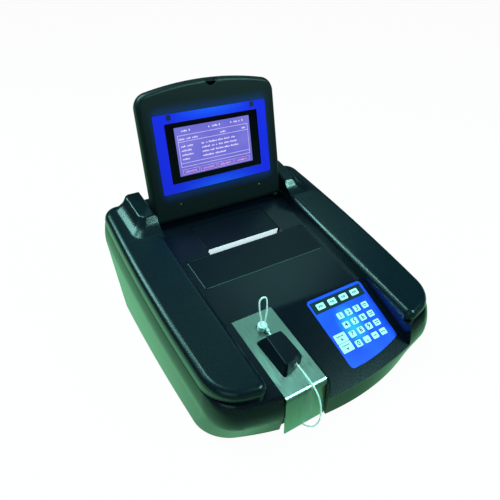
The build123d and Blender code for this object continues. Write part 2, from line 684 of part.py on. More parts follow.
with BuildPart() as pump_rotor:
    with Locations(Plane(origin=(pump_face - 15, pump[1], pump[2]), z_dir=(1, 0, 0))):
        Cylinder(14, 3, align=(Align.CENTER, Align.CENTER, Align.MIN))
        Cylinder(6, 13, align=(Align.CENTER, Align.CENTER, Align.MIN))
        with PolarLocations(13, 3):
            Cylinder(4, 12, align=(Align.CENTER, Align.CENTER, Align.MIN))
    with Locations(Plane(origin=(pump_face - 21, pump[1], pump[2]), z_dir=(1, 0, 0))):
        Cylinder(3, 8, align=(Align.CENTER, Align.CENTER, Align.MIN))
pump_rotor.part.label = "pump_rotor"
export_step(pump_rotor.part, "parts/pump_rotor.step")

# Keypad: one moulded panel with a well for every key
def key_block(plane, place, size, rise, low):
    """One key standing between two levels of the facet."""
    with BuildPart(mode=Mode.PRIVATE) as block:
        with BuildSketch(plane(-low)):
            with Locations((place[0], -place[1])):
                RectangleRounded(size[0], size[1], key_corner)
        extrude(amount=rise - low)
    return block.part


key_low = -key_pocket + key_backing + key_travel + key_rest_gap
digit_rows = [["key_1", "key_2", "key_3", "key_print"], ["key_4", "key_5", "key_6", "key_wash"],
              ["key_7", "key_8", "key_9", "key_menu"], ["key_0", "key_point", "key_minus", "key_enter"]]
key_table = []
for row, names in enumerate(digit_rows):
    for column, name in enumerate(names):
        key_table.append((name, (digit_first[0] + column * digit_pitch[0],
                                 digit_first[1] + row * digit_pitch[1]), digit_key))
for column in range(4):
    key_table.append((f"key_soft_{column + 1}", (soft_first[0] + column * soft_pitch, soft_first[1]),
                      soft_key))
for row, name in enumerate(("key_scroll_up", "key_scroll_down")):
    key_table.append((name, (large_first[0], large_first[1] + row * large_pitch),
                      (large_key[0], large_key[1])))

with BuildPart() as keypad_panel:
    extrude(overlay_outline(facet_plane(key_pocket), inset=0.2), amount=key_pocket + overlay_stand)
    for name, place, size in key_table:
        hole = (size[0] + 2 * key_gap, size[1] + 2 * key_gap)
        add(key_block(facet_plane, place, hole, 2, -key_pocket + key_backing), mode=Mode.SUBTRACT)
keypad_panel.part.label = "keypad_panel"
export_step(keypad_panel.part, "parts/keypad_panel.step")

for name, place, size in key_table:
    with BuildPart() as key:
        add(key_block(facet_plane, place, size, key_stand, key_low))
    key.part.label = name
    export_step(key.part, f"parts/{name}.step")

# Printer: frame, head, rollers, paper, door and the fixed panel behind the slot
with BuildPart() as printer_frame:
    for x in (-paper_width / 2 - 3.6, paper_width / 2 + 1.6):
        with BuildSketch(section(x)):
            with BuildLine():
                Polyline((-14, -deck_wall), (-4, -deck_wall), (-4, -8), (61, -8), (61, -deck_wall),
                         (104, -deck_wall), (104, -16), (70, -30), (52, frame_floor_h),
                         (-8, frame_floor_h), (-14, -50), close=True)
            make_face()
            with Locations((roll_s, roll_h), (platen_s, platen_h)):
                Circle(spindle_r + spindle_clearance, mode=Mode.SUBTRACT)
        extrude(amount=frame_side)
    with Locations(deck * Pos(0, 22, frame_floor_h)):
        Box(paper_width + 3.2 + 2 * frame_side, 60, 2, align=(Align.CENTER, Align.CENTER, Align.MAX))
printer_frame.part.label = "printer_frame"
export_step(printer_frame.part, "parts/printer_frame.step")

paper_out = platen_s + platen_r + paper_gap + paper_sheet
with BuildPart() as print_head:
    with Locations(deck * Pos(0, paper_out, -14)):
        Box(paper_width + 3.2, 3, 14, align=(Align.CENTER, Align.MIN, Align.CENTER))
        Box(80, 9, 8, align=(Align.CENTER, Align.MIN, Align.CENTER))
print_head.part.label = "print_head"
export_step(print_head.part, "parts/print_head.step")

run = (platen_s - roll_s, platen_h - roll_h)
outer_r = roll_r + paper_gap
inner_r = platen_r + paper_gap
aim = atan2(run[1], run[0]) - acos((outer_r - inner_r) / hypot(*run))
with BuildPart() as paper_strip:
    with BuildSketch(section(-paper_width / 2)):
        with BuildLine():
            def strip_side(out):
                turn = aim / 2
                return ((roll_s + (outer_r + out) * cos(aim), roll_h + (outer_r + out) * sin(aim)),
                        (platen_s + (inner_r + out) * cos(aim), platen_h + (inner_r + out) * sin(aim)),
                        (platen_s + (inner_r + out) * cos(turn), platen_h + (inner_r + out) * sin(turn)),
                        (platen_s + inner_r + out, platen_h), (platen_s + inner_r + out, -0.4))
            inside = strip_side(0)
            outside = strip_side(paper_sheet)
            Line(inside[0], inside[1])
            ThreePointArc(inside[1], inside[2], inside[3])
            Line(inside[3], inside[4])
            Line(inside[4], outside[4])
            Line(outside[4], outside[3])
            ThreePointArc(outside[3], outside[2], outside[1])
            Line(outside[1], outside[0])
            Line(outside[0], inside[0])
        make_face()
    extrude(amount=paper_width)
paper_strip.part.label = "paper_strip"
export_step(paper_strip.part, "parts/paper_strip.step")

spindle_length = paper_width + 3.2 + 2 * frame_side
with BuildPart() as paper_roll:
    with Locations(deck * Pos(0, roll_s, roll_h) * Rot(0, 90, 0)):
        Cylinder(roll_r, paper_width)
        with Locations((0, 0, paper_width / 2), (0, 0, -paper_width / 2)):
            Cylinder(roll_core_r, 2, mode=Mode.SUBTRACT)
        Cylinder(spindle_r, spindle_length)
paper_roll.part.label = "paper_roll"
export_step(paper_roll.part, "parts/paper_roll.step")

with BuildPart() as platen_roller:
    with Locations(deck * Pos(0, platen_s, platen_h) * Rot(0, 90, 0)):
        Cylinder(platen_r, platen_width)
        Cylinder(spindle_r, spindle_length)
    with Locations(deck * Pos(spindle_length / 2, platen_s, platen_h) * Rot(0, 90, 0)):
        Cylinder(spindle_r, 5, align=(Align.CENTER, Align.CENTER, Align.MIN))
    with Locations(deck * Pos(spindle_length / 2 + 1.5, platen_s, platen_h) * Rot(0, 90, 0)):
        Cylinder(5.5, 3.5, align=(Align.CENTER, Align.CENTER, Align.MIN))
platen_roller.part.label = "platen_roller"
export_step(platen_roller.part, "parts/platen_roller.step")

with BuildPart() as printer_door:
    with BuildSketch(deck.offset(-door_sheet)):
        with Locations((0, (door_front + door_rear) / 2)):
            RectangleRounded(2 * door_half_width, door_rear - door_front, door_corner)
    extrude(amount=door_sheet)
    upper = [edge for edge in printer_door.edges() if abs(deck.to_local_coords(edge.center()).Z) < 0.1]
    fillet(upper, 0.8)
    with Locations(Plane(origin=door_axis, z_dir=(1, 0, 0))):
        for end in (-1, 1):
            with Locations((0, 0, end * door_half_width)):
                Cylinder(door_pin_r + door_pin_clearance, 2 * door_pin_reach + 1, mode=Mode.SUBTRACT)
printer_door.part.label = "printer_door"
export_step(printer_door.part, "parts/printer_door.step")

with BuildPart() as printer_panel:
    with BuildSketch(deck.offset(-door_sheet - door_rest_gap)):
        with Locations((0, (slot_end + bay_panel_end) / 2)):
            Rectangle(2 * bay_panel_half_width, bay_panel_end - slot_end)
    extrude(amount=door_sheet + door_rest_gap)
    upper = [edge for edge in printer_panel.edges() if abs(deck.to_local_coords(edge.center()).Z) < 0.1]
    fillet(upper, 0.8)
printer_panel.part.label = "printer_panel"
export_step(printer_panel.part, "parts/printer_panel.step")

# Display lid at its rest lean. Its plane has the face at zero and the pivot behind it.
lid_out = Vector(0, -cos(lean), sin(lean))
lid_plane = Plane(origin=pivot + lid_out * pivot_depth, x_dir=(1, 0, 0), z_dir=lid_out)


def lid_outline(plane, inset=0.0):
    """Arched outline of the lid."""
    top_mid = lid_top - inset
    side = lid_half_width - inset
    bow = lid_top_r - inset
    shoulder = top_mid - bow + sqrt(bow * bow - side * side)
    with BuildSketch(plane) as sketch:
        with BuildLine():
            Polyline((-side, shoulder), (-side, lid_bottom + inset), (side, lid_bottom + inset),
                     (side, shoulder))
            ThreePointArc((side, shoulder), (0, top_mid), (-side, shoulder))
        make_face()
        fillet(sketch.vertices().group_by(Axis.Y)[-1], lid_corner - inset)
        fillet(sketch.vertices().group_by(Axis.Y)[0], 4.0)
    return sketch.sketch


screen_middle = (window_low + window_high) / 2
screen_opening = (2 * window_half_width, window_high - window_low)
with BuildPart() as lid_front:
    extrude(lid_outline(lid_plane.offset(-lid_front_depth)), amount=lid_front_depth)
    face_edges = [edge for edge in lid_front.edges()
                  if abs(lid_plane.to_local_coords(edge.center()).Z) < 0.1]
    fillet(face_edges, lid_front_round)
    extrude(lid_outline(lid_plane.offset(-lid_front_depth), inset=2 * lid_skin),
            amount=lid_front_depth - lid_skin, mode=Mode.SUBTRACT)
    with BuildSketch(lid_plane.offset(-bezel_sheet + 0.2)):
        with Locations((0, (bezel_low + bezel_high) / 2)):
            RectangleRounded(2 * bezel_half_width + 0.2, bezel_high - bezel_low + 0.2, 3)
    extrude(amount=4, mode=Mode.SUBTRACT)
    with BuildSketch(lid_plane.offset(-lid_front_depth)):
        with Locations((0, screen_middle)):
            Rectangle(*screen_opening)
    extrude(amount=2 * lid_front_depth, mode=Mode.SUBTRACT)
    with Locations(lid_plane):
        with Locations((lid_notch_x, lid_top + 0.5, 0)):
            Sphere(lid_notch_r, mode=Mode.SUBTRACT)
        with Locations((-lid_screw_x, lid_screw_v, 0), (lid_screw_x, lid_screw_v, 0)):
            Cylinder(1.25, 20, mode=Mode.SUBTRACT)
lid_front.part.label = "lid_front"
export_step(lid_front.part, "parts/lid_front.step")

with BuildPart() as lid_back:
    back_plane = lid_plane.offset(-lid_depth)
    extrude(lid_outline(back_plane), amount=lid_depth - lid_front_depth)
    back_edges = [edge for edge in lid_back.edges()
                  if abs(back_plane.to_local_coords(edge.center()).Z) < 0.1]
    fillet(back_edges, lid_back_round)
    with BuildSketch(back_plane.offset(lid_skin)):
        add(lid_outline(Plane.XY, inset=lid_skin + 2.5))
        with Locations((-lid_half_width, lid_bottom), (lid_half_width, lid_bottom)):
            Rectangle(36, 2 * hinge_boss, mode=Mode.SUBTRACT)
    extrude(amount=lid_depth, mode=Mode.SUBTRACT)
    with Locations(lid_plane):
        with Locations((-lid_screw_x, lid_screw_v, -lid_skin), (lid_screw_x, lid_screw_v, -lid_skin)):
            Cylinder(3.5, lid_depth - 2 * lid_skin, align=(Align.CENTER, Align.CENTER, Align.MAX))
            Cylinder(1.25, 10, align=(Align.CENTER, Align.CENTER, Align.MAX), mode=Mode.SUBTRACT)
    with Locations(Plane(origin=pivot, z_dir=(1, 0, 0))):
        Cylinder(hinge_pin_r + hinge_clearance, 3 * lid_half_width, mode=Mode.SUBTRACT)
lid_back.part.label = "lid_back"
export_step(lid_back.part, "parts/lid_back.step")

with BuildPart() as bezel_panel:
    with BuildSketch(lid_plane.offset(-bezel_sheet + 0.2)):
        with Locations((0, (bezel_low + bezel_high) / 2)):
            RectangleRounded(2 * bezel_half_width, bezel_high - bezel_low, 3)
        with Locations((0, screen_middle)):
            RectangleRounded(*screen_opening, 2, mode=Mode.SUBTRACT)
    extrude(amount=bezel_sheet)
bezel_panel.part.label = "bezel_panel"
export_step(bezel_panel.part, "parts/bezel_panel.step")

with BuildPart() as lcd_module:
    with Locations(lid_plane):
        with Locations((0, screen_middle, -lid_skin)):
            Box(screen_opening[0] + 2 * lcd_margin, screen_opening[1] + 2 * lcd_margin, lcd_depth,
                align=(Align.CENTER, Align.CENTER, Align.MAX))
            Box(screen_opening[0] - 0.6, screen_opening[1] - 0.6, lid_skin - lcd_setback,
                align=(Align.CENTER, Align.CENTER, Align.MIN))
lcd_module.part.label = "lcd_module"
export_step(lcd_module.part, "parts/lcd_module.step")

with BuildPart() as lid_bumpers:
    with Locations(lid_plane):
        with Locations((-bumper_x, bumper_v - 2, 0.2), (bumper_x, bumper_v - 2, 0.2)):
            Box(*bumper_size[:2], bumper_size[2] - 0.2, align=(Align.CENTER, Align.CENTER, Align.MIN))
lid_bumpers.part.label = "lid_bumpers"
export_step(lid_bumpers.part, "parts/lid_bumpers.step")

with BuildPart() as lid_screws:
    with Locations(lid_plane):
        for x in (-lid_screw_x, lid_screw_x):
            with Locations((x, lid_screw_v, 0.3)):
                Cylinder(1.25, 11, align=(Align.CENTER, Align.CENTER, Align.MAX))
                Box(1.8, 0.4, 0.5, mode=Mode.SUBTRACT)
lid_screws.part.label = "lid_screws"
export_step(lid_screws.part, "parts/lid_screws.step")

# Pins: two of the lid, the rod of the trigger, two stubs of the printer door
with BuildPart() as hinge_pins:
    for side in (-1, 1):
        middle = side * (trench_half_width + hinge_reach - 16)
        with Locations(Plane(origin=(middle, pivot.Y, pivot.Z), z_dir=(1, 0, 0))):
            Cylinder(hinge_pin_r, 32)
        middle = side * (door_half_width + door_gap)
        with Locations(Plane(origin=(middle, door_axis.Y, door_axis.Z), z_dir=(1, 0, 0))):
            Cylinder(door_pin_r, 2 * door_pin_reach)
    with Locations(Plane(origin=(plate_x, trigger_pivot_y, trigger_pivot_z), z_dir=(1, 0, 0))):
        Cylinder(trigger_rod_r, plate_width + 2 * (plate_gap + wall))
hinge_pins.part.label = "hinge_pins"
export_step(hinge_pins.part, "parts/hinge_pins.step")

# Light shield: a hollow cover that lifts off the plate, notched for the tube
shield_foot = [(-80.5, -95.0), (-78.0, -149.0), (-50.5, -140.4), (-43.1, -133.9), (-43.6, -122.0),
               (-44.2, -108.0), (-46.5, -95.5)]
shield_crown = [(-72.5, -100.5), (-73.5, -143.0), (-54.0, -136.5), (-50.5, -131.5), (-51.0, -122.0),
                (-51.6, -110.0), (-52.8, -101.0)]
with BuildPart() as light_shield:
    for level, points, corner in ((plate_proud + 0.1, shield_foot, 3.0), (shield_height, shield_crown, 2.5)):
        with BuildSketch(deck.offset(level)) as shield_sketch:
            with BuildLine():
                Polyline(*points, close=True)
            make_face()
            fillet(shield_sketch.vertices(), corner)
    loft()
    crown = [edge for edge in light_shield.edges()
             if abs(deck.to_local_coords(edge.center()).Z - shield_height) < 0.1]
    fillet(crown, 1.5)
    with Locations(deck * Pos(-62, -119, 0)):
        Box(17, 36, 2 * shield_height - 6, mode=Mode.SUBTRACT)
    with Locations(deck * Pos(-58.6, -119, 0)):
        Box(8, 80, 11, mode=Mode.SUBTRACT)
light_shield.part.label = "light_shield"
export_step(light_shield.part, "parts/light_shield.step")

# Tubes
tube_r = 0.9
tube_pull = 0.45


def tube(points, radius):
    """Round tube along straight runs joined by tangent arcs; prints its bend radii."""
    spots = [Vector(point) for point in points]
    runs = [b - a for a, b in zip(spots, spots[1:])]
    radii = []
    for first, second in zip(runs, runs[1:]):
        half_turn = radians(first.get_angle(second)) / 2
        radii.append(tube_pull * min(first.length, second.length) / tan(half_turn))
    print("runs", [round(run.length, 1) for run in runs], "radii", [round(r, 1) for r in radii])
    with BuildPart() as piece:
        with BuildLine() as path:
            FilletPolyline(*spots, radius=radii)
        wire = path.wires()[0]
        print("length", round(wire.length, 1))
        with BuildSketch(Plane(origin=wire @ 0, z_dir=wire % 0)):
            Circle(radius)
        sweep(path=wire)
    return piece.part


sipper_points = [on_deck(plate_x + 2.4, stub_end, stub_h), on_deck(plate_x + 2.4, stub_end - 14, stub_h),
                 on_deck(-57.4, stub_end - 32, 2.8), on_deck(-56.4, stub_end - 50, 2.4),
                 (-56.0, -163.0, 60.2), (-54.0, -171.5, 51.0), (-51.0, -174.0, 38.0),
                 (-48.5, -174.2, 22.0), (-49.0, -173.8, 8.0), (-54.4, -173.0, 1.8),
                 (-60.5, -170.2, 1.4), (-64.2, -162.5, 1.5)]
with BuildPart() as sipper_tube:
    add(tube(sipper_points, tube_r))
sipper_tube.part.label = "sipper_tube"
export_step(sipper_tube.part, "parts/sipper_tube.step")

loop_points = [on_deck(plate_x + dx, well_s + ds, cap_top + rise) for dx, ds, rise in (
    (2.6, 0.0, 0.0), (2.6, 0.5, 9.0), (4.8, 3.6, 18.5), (5.2, 6.6, 27.0), (5.1, 8.7, 33.6), (2.1, 9.5, 36.8),
    (-2.1, 9.5, 36.8), (-5.1, 8.7, 33.6), (-5.2, 6.6, 27.0), (-4.8, 3.6, 18.5), (-2.8, 0.5, 9.0), (-2.8, 0.0, 0.0))]
with BuildPart() as loop_tube:
    add(tube(loop_points, tube_r))
loop_tube.part.label = "loop_tube"
export_step(loop_tube.part, "parts/loop_tube.step")
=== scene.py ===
import math

import bmesh
import bpy
from mathutils import Euler, Matrix, Vector


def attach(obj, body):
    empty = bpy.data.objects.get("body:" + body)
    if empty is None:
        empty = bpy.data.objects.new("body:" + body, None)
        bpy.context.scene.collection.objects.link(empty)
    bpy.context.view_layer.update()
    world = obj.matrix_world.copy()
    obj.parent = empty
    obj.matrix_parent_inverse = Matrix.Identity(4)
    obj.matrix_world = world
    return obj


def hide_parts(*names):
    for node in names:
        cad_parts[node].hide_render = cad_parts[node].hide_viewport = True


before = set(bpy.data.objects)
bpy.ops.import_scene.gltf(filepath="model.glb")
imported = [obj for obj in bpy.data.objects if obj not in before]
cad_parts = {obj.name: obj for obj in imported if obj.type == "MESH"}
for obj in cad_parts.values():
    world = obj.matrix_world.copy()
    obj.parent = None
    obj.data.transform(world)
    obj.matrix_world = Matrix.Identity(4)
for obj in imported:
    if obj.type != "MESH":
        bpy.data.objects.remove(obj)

bpy.context.view_layer.update()

# Camera, table and light.
# A white table top in a white room, seen from the front left and from above, as a
# catalogue photograph is taken. Nothing here is part of the analyzer.
mm = 0.001
camera_place = (-0.3291, -0.4621, 0.4663)
sight = Vector((-0.4979, -0.7058, 0.5039)).normalized()
level = Vector((0.8171, -0.5764, 0.0)).normalized()
tilt = math.radians(1.19)
across = level * math.cos(tilt) + sight.cross(level) * math.sin(tilt)
camera_data = bpy.data.cameras.new("camera")
camera_data.lens = 37.39
camera_data.sensor_width = 36.0
camera_data.shift_x = -0.0336
camera_data.shift_y = -0.0157
camera = bpy.data.objects.new("camera", camera_data)
bpy.context.scene.collection.objects.link(camera)
camera.matrix_world = Matrix.Translation(camera_place) @ Matrix(
    (across, sight.cross(across), sight)).transposed().to_4x4()
bpy.context.scene.camera = camera


def linear(code):
    """A colour written as sRGB hex, as the linear numbers that a shader takes."""
    parts = [int(code[i:i + 2], 16) / 255 for i in (1, 3, 5)]
    return tuple(p / 12.92 if p <= 0.04045 else ((p + 0.055) / 1.055) ** 2.4 for p in parts) + (1.0,)


def add_node(material, kind, inputs=None, **settings):
    """One more node of a material: its settings, and a value or a link for each input."""
    tree = material.node_tree
    node = tree.nodes.new("ShaderNode" + kind)
    for key, value in settings.items():
        setattr(node, key, value)
    for key, value in (inputs or {}).items():
        if isinstance(value, bpy.types.NodeSocket):
            tree.links.new(value, node.inputs[key])
        else:
            node.inputs[key].default_value = value
    return node


def new_material(name):
    """An empty material and its output node."""
    material = bpy.data.materials.new(name)
    material.use_nodes = True
    material.node_tree.nodes.clear()
    return material, add_node(material, "OutputMaterial")


table_half = 9.0
table_drop = 0.0002
table_white = 0.97
ahead_dark = -0.23
ahead_light = -0.13
ahead_share = 0.22
table_paint, output = new_material("white_table")
# the eye sees it nearly white; glossy rays get a painted reflection, a pale green glow that the black
# plastic mirrors, and painted shade dims that glow towards the front, as if the operator shaded the table
# there
path = add_node(table_paint, "LightPath")
seen = add_node(table_paint, "Math", {0: path.outputs["Is Camera Ray"], 1: table_white}, operation="MULTIPLY")
mirrored = add_node(table_paint, "Math", {0: path.outputs["Is Glossy Ray"],
                                          1: path.outputs["Is Transmission Ray"]}, operation="MAXIMUM")
glow_share = add_node(table_paint, "Math", {0: seen.outputs[0], 1: mirrored.outputs[0]}, operation="MAXIMUM")
matt = add_node(table_paint, "BsdfDiffuse", {"Color": linear("#f0f4f2")})
where = add_node(table_paint, "TexCoord")
axes = add_node(table_paint, "SeparateXYZ", {0: where.outputs["Object"]})
# painted shade: the mirrored glow dims towards the front of the table
painted_front_shade = add_node(table_paint, "MapRange", {0: axes.outputs[1], 1: ahead_dark, 2: ahead_light,
                                           3: ahead_share, 4: 1.0}, interpolation_type="SMOOTHSTEP")
# painted reflection: the mirrored glow is tinted pale green
green = add_node(table_paint, "Mix", {0: 1.0, 6: linear("#86dca6"), 7: painted_front_shade.outputs[0]},
                 data_type="RGBA", blend_type="MULTIPLY")
painted_reflection_tint = add_node(table_paint, "Mix", {0: mirrored.outputs[0], 6: linear("#ffffff"), 7: green.outputs[2]},
                     data_type="RGBA")
plain = add_node(table_paint, "Emission", {"Color": painted_reflection_tint.outputs[2], "Strength": 1.0})
blend = add_node(table_paint, "MixShader", {0: glow_share.outputs[0], 1: matt.outputs[0],
                                            2: plain.outputs[0]})
table_paint.node_tree.links.new(blend.outputs[0], output.inputs["Surface"])

shape = bmesh.new()
bmesh.ops.create_grid(shape, x_segments=1, y_segments=1, size=table_half)
bmesh.ops.translate(shape, verts=shape.verts, vec=(0, 0, -table_drop))
table_mesh = bpy.data.meshes.new("table_top")
shape.to_mesh(table_mesh)
shape.free()
table_top = bpy.data.objects.new("table_top", table_mesh)
bpy.context.scene.collection.objects.link(table_top)
table_top.data.materials.append(table_paint)

# a dim blue-grey room that the eye, and a little of every mirror, sees as white
room_strength = 0.07
mirror_white = 0.012
sky = bpy.data.worlds.new("sky")
bpy.context.scene.world = sky
sky.use_nodes = True
sky.node_tree.nodes.clear()
path = add_node(sky, "LightPath")
room = add_node(sky, "Background", {"Color": linear("#86a7b5"), "Strength": room_strength})
white = add_node(sky, "Background", {"Color": linear("#ffffff"), "Strength": 1.0})
through = add_node(sky, "Math", {0: path.outputs["Is Glossy Ray"], 1: path.outputs["Is Transmission Ray"]},
                   operation="MAXIMUM")
share = add_node(sky, "Math", {0: through.outputs[0], 1: mirror_white}, operation="MULTIPLY")
share = add_node(sky, "Math", {0: path.outputs["Is Camera Ray"], 1: share.outputs[0]}, operation="MAXIMUM")
sky_mix = add_node(sky, "MixShader", {0: share.outputs[0], 1: room.outputs[0], 2: white.outputs[0]})
add_node(sky, "OutputWorld", {"Surface": sky_mix.outputs[0]})

# lamps: name, place, the point it faces, width and height in metres, watts
for name, place, aim, size, power in (
        ("window", (-0.80, 0.85, 1.65), (0, 0.02, 0.12), (0.55, 0.9), 38.0),
        ("top", (-0.22, 0.18, 1.75), (0, -0.1, 0.1), (0.28, 0.28), 13.0),
        ("front", (0.75, -0.95, 1.05), (0, -0.1, 0.08), (0.5, 0.4), 16.0),
        ("ceiling", (0.86, 0.56, 1.48), (-0.06, -0.12, 0.07), (0.5, 0.5), 1.8),
        ("fill", (-1.2, -1.6, 1.1), (0, 0, 0.1), (1.2, 1.2), 2.8)):
    lamp_data = bpy.data.lights.new(name, "AREA")
    lamp_data.shape = "RECTANGLE"
    lamp_data.size, lamp_data.size_y = size
    lamp_data.energy = power
    lamp_data.color = (0.42, 1.0, 0.9)
    lamp = bpy.data.objects.new(name, lamp_data)
    bpy.context.scene.collection.objects.link(lamp)
    lamp.location = place
    lamp.rotation_mode = "QUATERNION"
    lamp.rotation_quaternion = (Vector(place) - Vector(aim)).to_track_quat("Z", "Y")
bpy.context.scene.view_settings.view_transform = "Standard"

# Sampling tubes.
# Clear fluoropolymer tube of 1.8 mm. One length leaves the cell's side stub, runs
# under the light shield and hangs down the front to its cut end; the other is a
# short loop between the two bores of the cell's cap.
slope = math.radians(14.18)
deck_mid = 98.9
plate_x = -63.4
well_s = -81.6
cap_top = 7.5
stub_end = well_s - 9.0


def on_deck(x, s, h):
    """Point h millimetres off the deck, s up its slope from the case's middle, in metres."""
    return Vector((x, s * math.cos(slope) - h * math.sin(slope),
                   deck_mid + s * math.sin(slope) + h * math.cos(slope))) * mm


tube_width = 1.8
tube_clear, output = new_material("clear_fluoropolymer")
# milky all through and bright along the top, where the wall mirrors the light; an emission in its own colour
# paints a faint glow over it all
where = add_node(tube_clear, "TexCoord")
haze = add_node(tube_clear, "TexNoise", {"Vector": where.outputs["Object"], "Scale": 260.0, "Detail": 2.0})
tone = add_node(tube_clear, "ValToRGB", {"Fac": haze.outputs[0]})
tone.color_ramp.elements[0].position = 0.35
tone.color_ramp.elements[0].color = linear("#c4e6e2")
tone.color_ramp.elements[1].position = 0.7
tone.color_ramp.elements[1].color = linear("#f2fdfb")
skin = add_node(tube_clear, "BsdfPrincipled", {
    "Base Color": tone.outputs[0], "Roughness": 0.22, "IOR": 1.38, "Transmission Weight": 0.15,
    "Coat Weight": 0.6, "Coat Roughness": 0.1, "Emission Color": tone.outputs[0],
    "Emission Strength": 0.22})
tube_clear.node_tree.links.new(skin.outputs[0], output.inputs["Surface"])

sipper_route = [on_deck(plate_x + 2.4, stub_end, 3.4), on_deck(plate_x + 2.4, stub_end - 14, 3.4),
                on_deck(-57.4, stub_end - 32, 2.8), on_deck(-56.4, stub_end - 50, 2.4)] + [
    Vector(point) * mm for point in (
        (-56.0, -163.0, 60.2), (-54.0, -171.5, 51.0), (-51.0, -174.0, 38.0), (-48.5, -174.2, 22.0),
        (-49.0, -173.8, 8.0), (-54.4, -173.0, 1.8), (-60.5, -170.2, 1.4), (-64.2, -162.5, 1.5))]
loop_route = [on_deck(plate_x + dx, well_s + ds, cap_top + rise) for dx, ds, rise in (
    (2.6, 0.0, 0.0), (2.6, 0.5, 9.0), (4.8, 3.6, 18.5), (5.2, 6.6, 27.0), (5.1, 8.7, 33.6), (2.1, 9.5, 36.8),
    (-2.1, 9.5, 36.8), (-5.1, 8.7, 33.6), (-5.2, 6.6, 27.0), (-4.8, 3.6, 18.5), (-2.8, 0.5, 9.0),
    (-2.8, 0.0, 0.0))]
for name, route, length, end, lay, node_name in (
        ("sipper_line", sipper_route, 0.1557, "bare", "hanging", "sipper_tube"),
        ("cap_loop", loop_route, 0.0822, "object", "loose", "loop_tube")):
    line_data = bpy.data.curves.new(name, "CURVE")
    line_data.dimensions = "3D"
    line_data.resolution_u = 10
    line_data.bevel_depth = tube_width / 2 * mm
    line_data.bevel_resolution = 5
    line_data.use_fill_caps = True
    spline = line_data.splines.new("NURBS")
    spline.points.add(len(route) - 1)
    for spot, point in zip(spline.points, route):
        spot.co = (*point, 1.0)
    spline.order_u = 3
    spline.use_endpoint_u = True
    line = bpy.data.objects.new(name, line_data)
    bpy.context.scene.collection.objects.link(line)
    line_data.materials.append(tube_clear)
    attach(line, "case")
    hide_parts(node_name)

# Case cover.
# One injection-moulded shell of black ABS: bowed walls, a sloping deck between two
# raised shoulders, and two hinge pods. The shoulders carry a fine pebbled grain that
# is cut into the tool.


def local_place(material, turn, origin):
    """Coordinates along a tilted face of the case: X across, Y up the slope, Z off the face."""
    turned = Euler((turn, 0, 0)).to_matrix()
    where = add_node(material, "TexCoord")
    return add_node(material, "Mapping", {"Vector": where.outputs["Object"], "Rotation": (turn, 0, 0),
                                          "Location": tuple(-(turned @ Vector(origin)))})


deck_origin = (0, 0, deck_mid * mm)
grain_foot = 0.8
grain_full = 4.0
case_black, output = new_material("moulded_black_abs")
# near black with a cold cast; the pebbled grain breaks the highlights up into specks
place = local_place(case_black, -slope, deck_origin)
axes = add_node(case_black, "SeparateXYZ", {0: place.outputs[0]})
raised = add_node(case_black, "MapRange", {0: axes.outputs[2], 1: grain_foot * mm, 2: grain_full * mm,
                                            3: 0.0, 4: 1.0})
side = add_node(case_black, "MapRange", {0: axes.outputs[2], 1: -3.0 * mm, 2: -9.0 * mm, 3: 0.0, 4: 0.35})
grained = add_node(case_black, "Math", {0: raised.outputs[0], 1: side.outputs[0]}, operation="MAXIMUM")
# pebbles are 0.4 mm on the real tool; drawn 2 mm wide so that they show at this distance
pebble = add_node(case_black, "TexVoronoi", {"Vector": place.outputs[0], "Scale": 520.0, "Randomness": 1.0})
fine = add_node(case_black, "TexNoise", {"Vector": place.outputs[0], "Scale": 900.0, "Detail": 3.0,
                                         "Roughness": 0.6})
broad = add_node(case_black, "TexNoise", {"Vector": place.outputs[0], "Scale": 9.0, "Detail": 3.0})
height = add_node(case_black, "Math", {0: pebble.outputs["Distance"], 1: fine.outputs[0]}, operation="ADD")
relief = add_node(case_black, "Math", {0: height.outputs[0], 1: grained.outputs[0]}, operation="MULTIPLY")
bump = add_node(case_black, "Bump", {"Height": relief.outputs[0], "Strength": 0.3, "Distance": 0.14 * mm})
# painted sheen: the grained shoulders get a paler, greener tone than the smooth deck, for the light the grain
# scatters
tone = add_node(case_black, "Mix", {0: raised.outputs[0], 6: linear("#070d18"), 7: linear("#07151d")},
                data_type="RGBA")
patchy = add_node(case_black, "MapRange", {0: broad.outputs[0], 1: 0.35, 2: 0.65, 3: 0.9, 4: 1.15})
shade = add_node(case_black, "Mix", {0: 1.0, 6: tone.outputs[2], 7: patchy.outputs[0]},
                 data_type="RGBA", blend_type="MULTIPLY")
rough = add_node(case_black, "MapRange", {0: fine.outputs[0], 1: 0.3, 2: 0.7, 3: 0.25, 4: 0.33})
# walls come glossier off the tool than the top faces, which keep the grain
facing = add_node(case_black, "SeparateXYZ", {0: add_node(case_black, "TexCoord").outputs["Normal"]})
upright = add_node(case_black, "MapRange", {0: facing.outputs[2], 1: 0.9, 2: 0.5, 3: 0.0, 4: 1.0})
coat = add_node(case_black, "Math", {0: upright.outputs[0], 1: 0.9}, operation="MULTIPLY")
skin = add_node(case_black, "BsdfPrincipled", {
    "Base Color": shade.outputs[2], "Roughness": rough.outputs[0], "IOR": 1.52,
    "Specular IOR Level": 0.22, "Coat Weight": coat.outputs[0], "Coat IOR": 1.6,
    "Coat Roughness": 0.2, "Normal": bump.outputs[0],
    "Coat Normal": bump.outputs[0]})
case_black.node_tree.links.new(skin.outputs[0], output.inputs["Surface"])


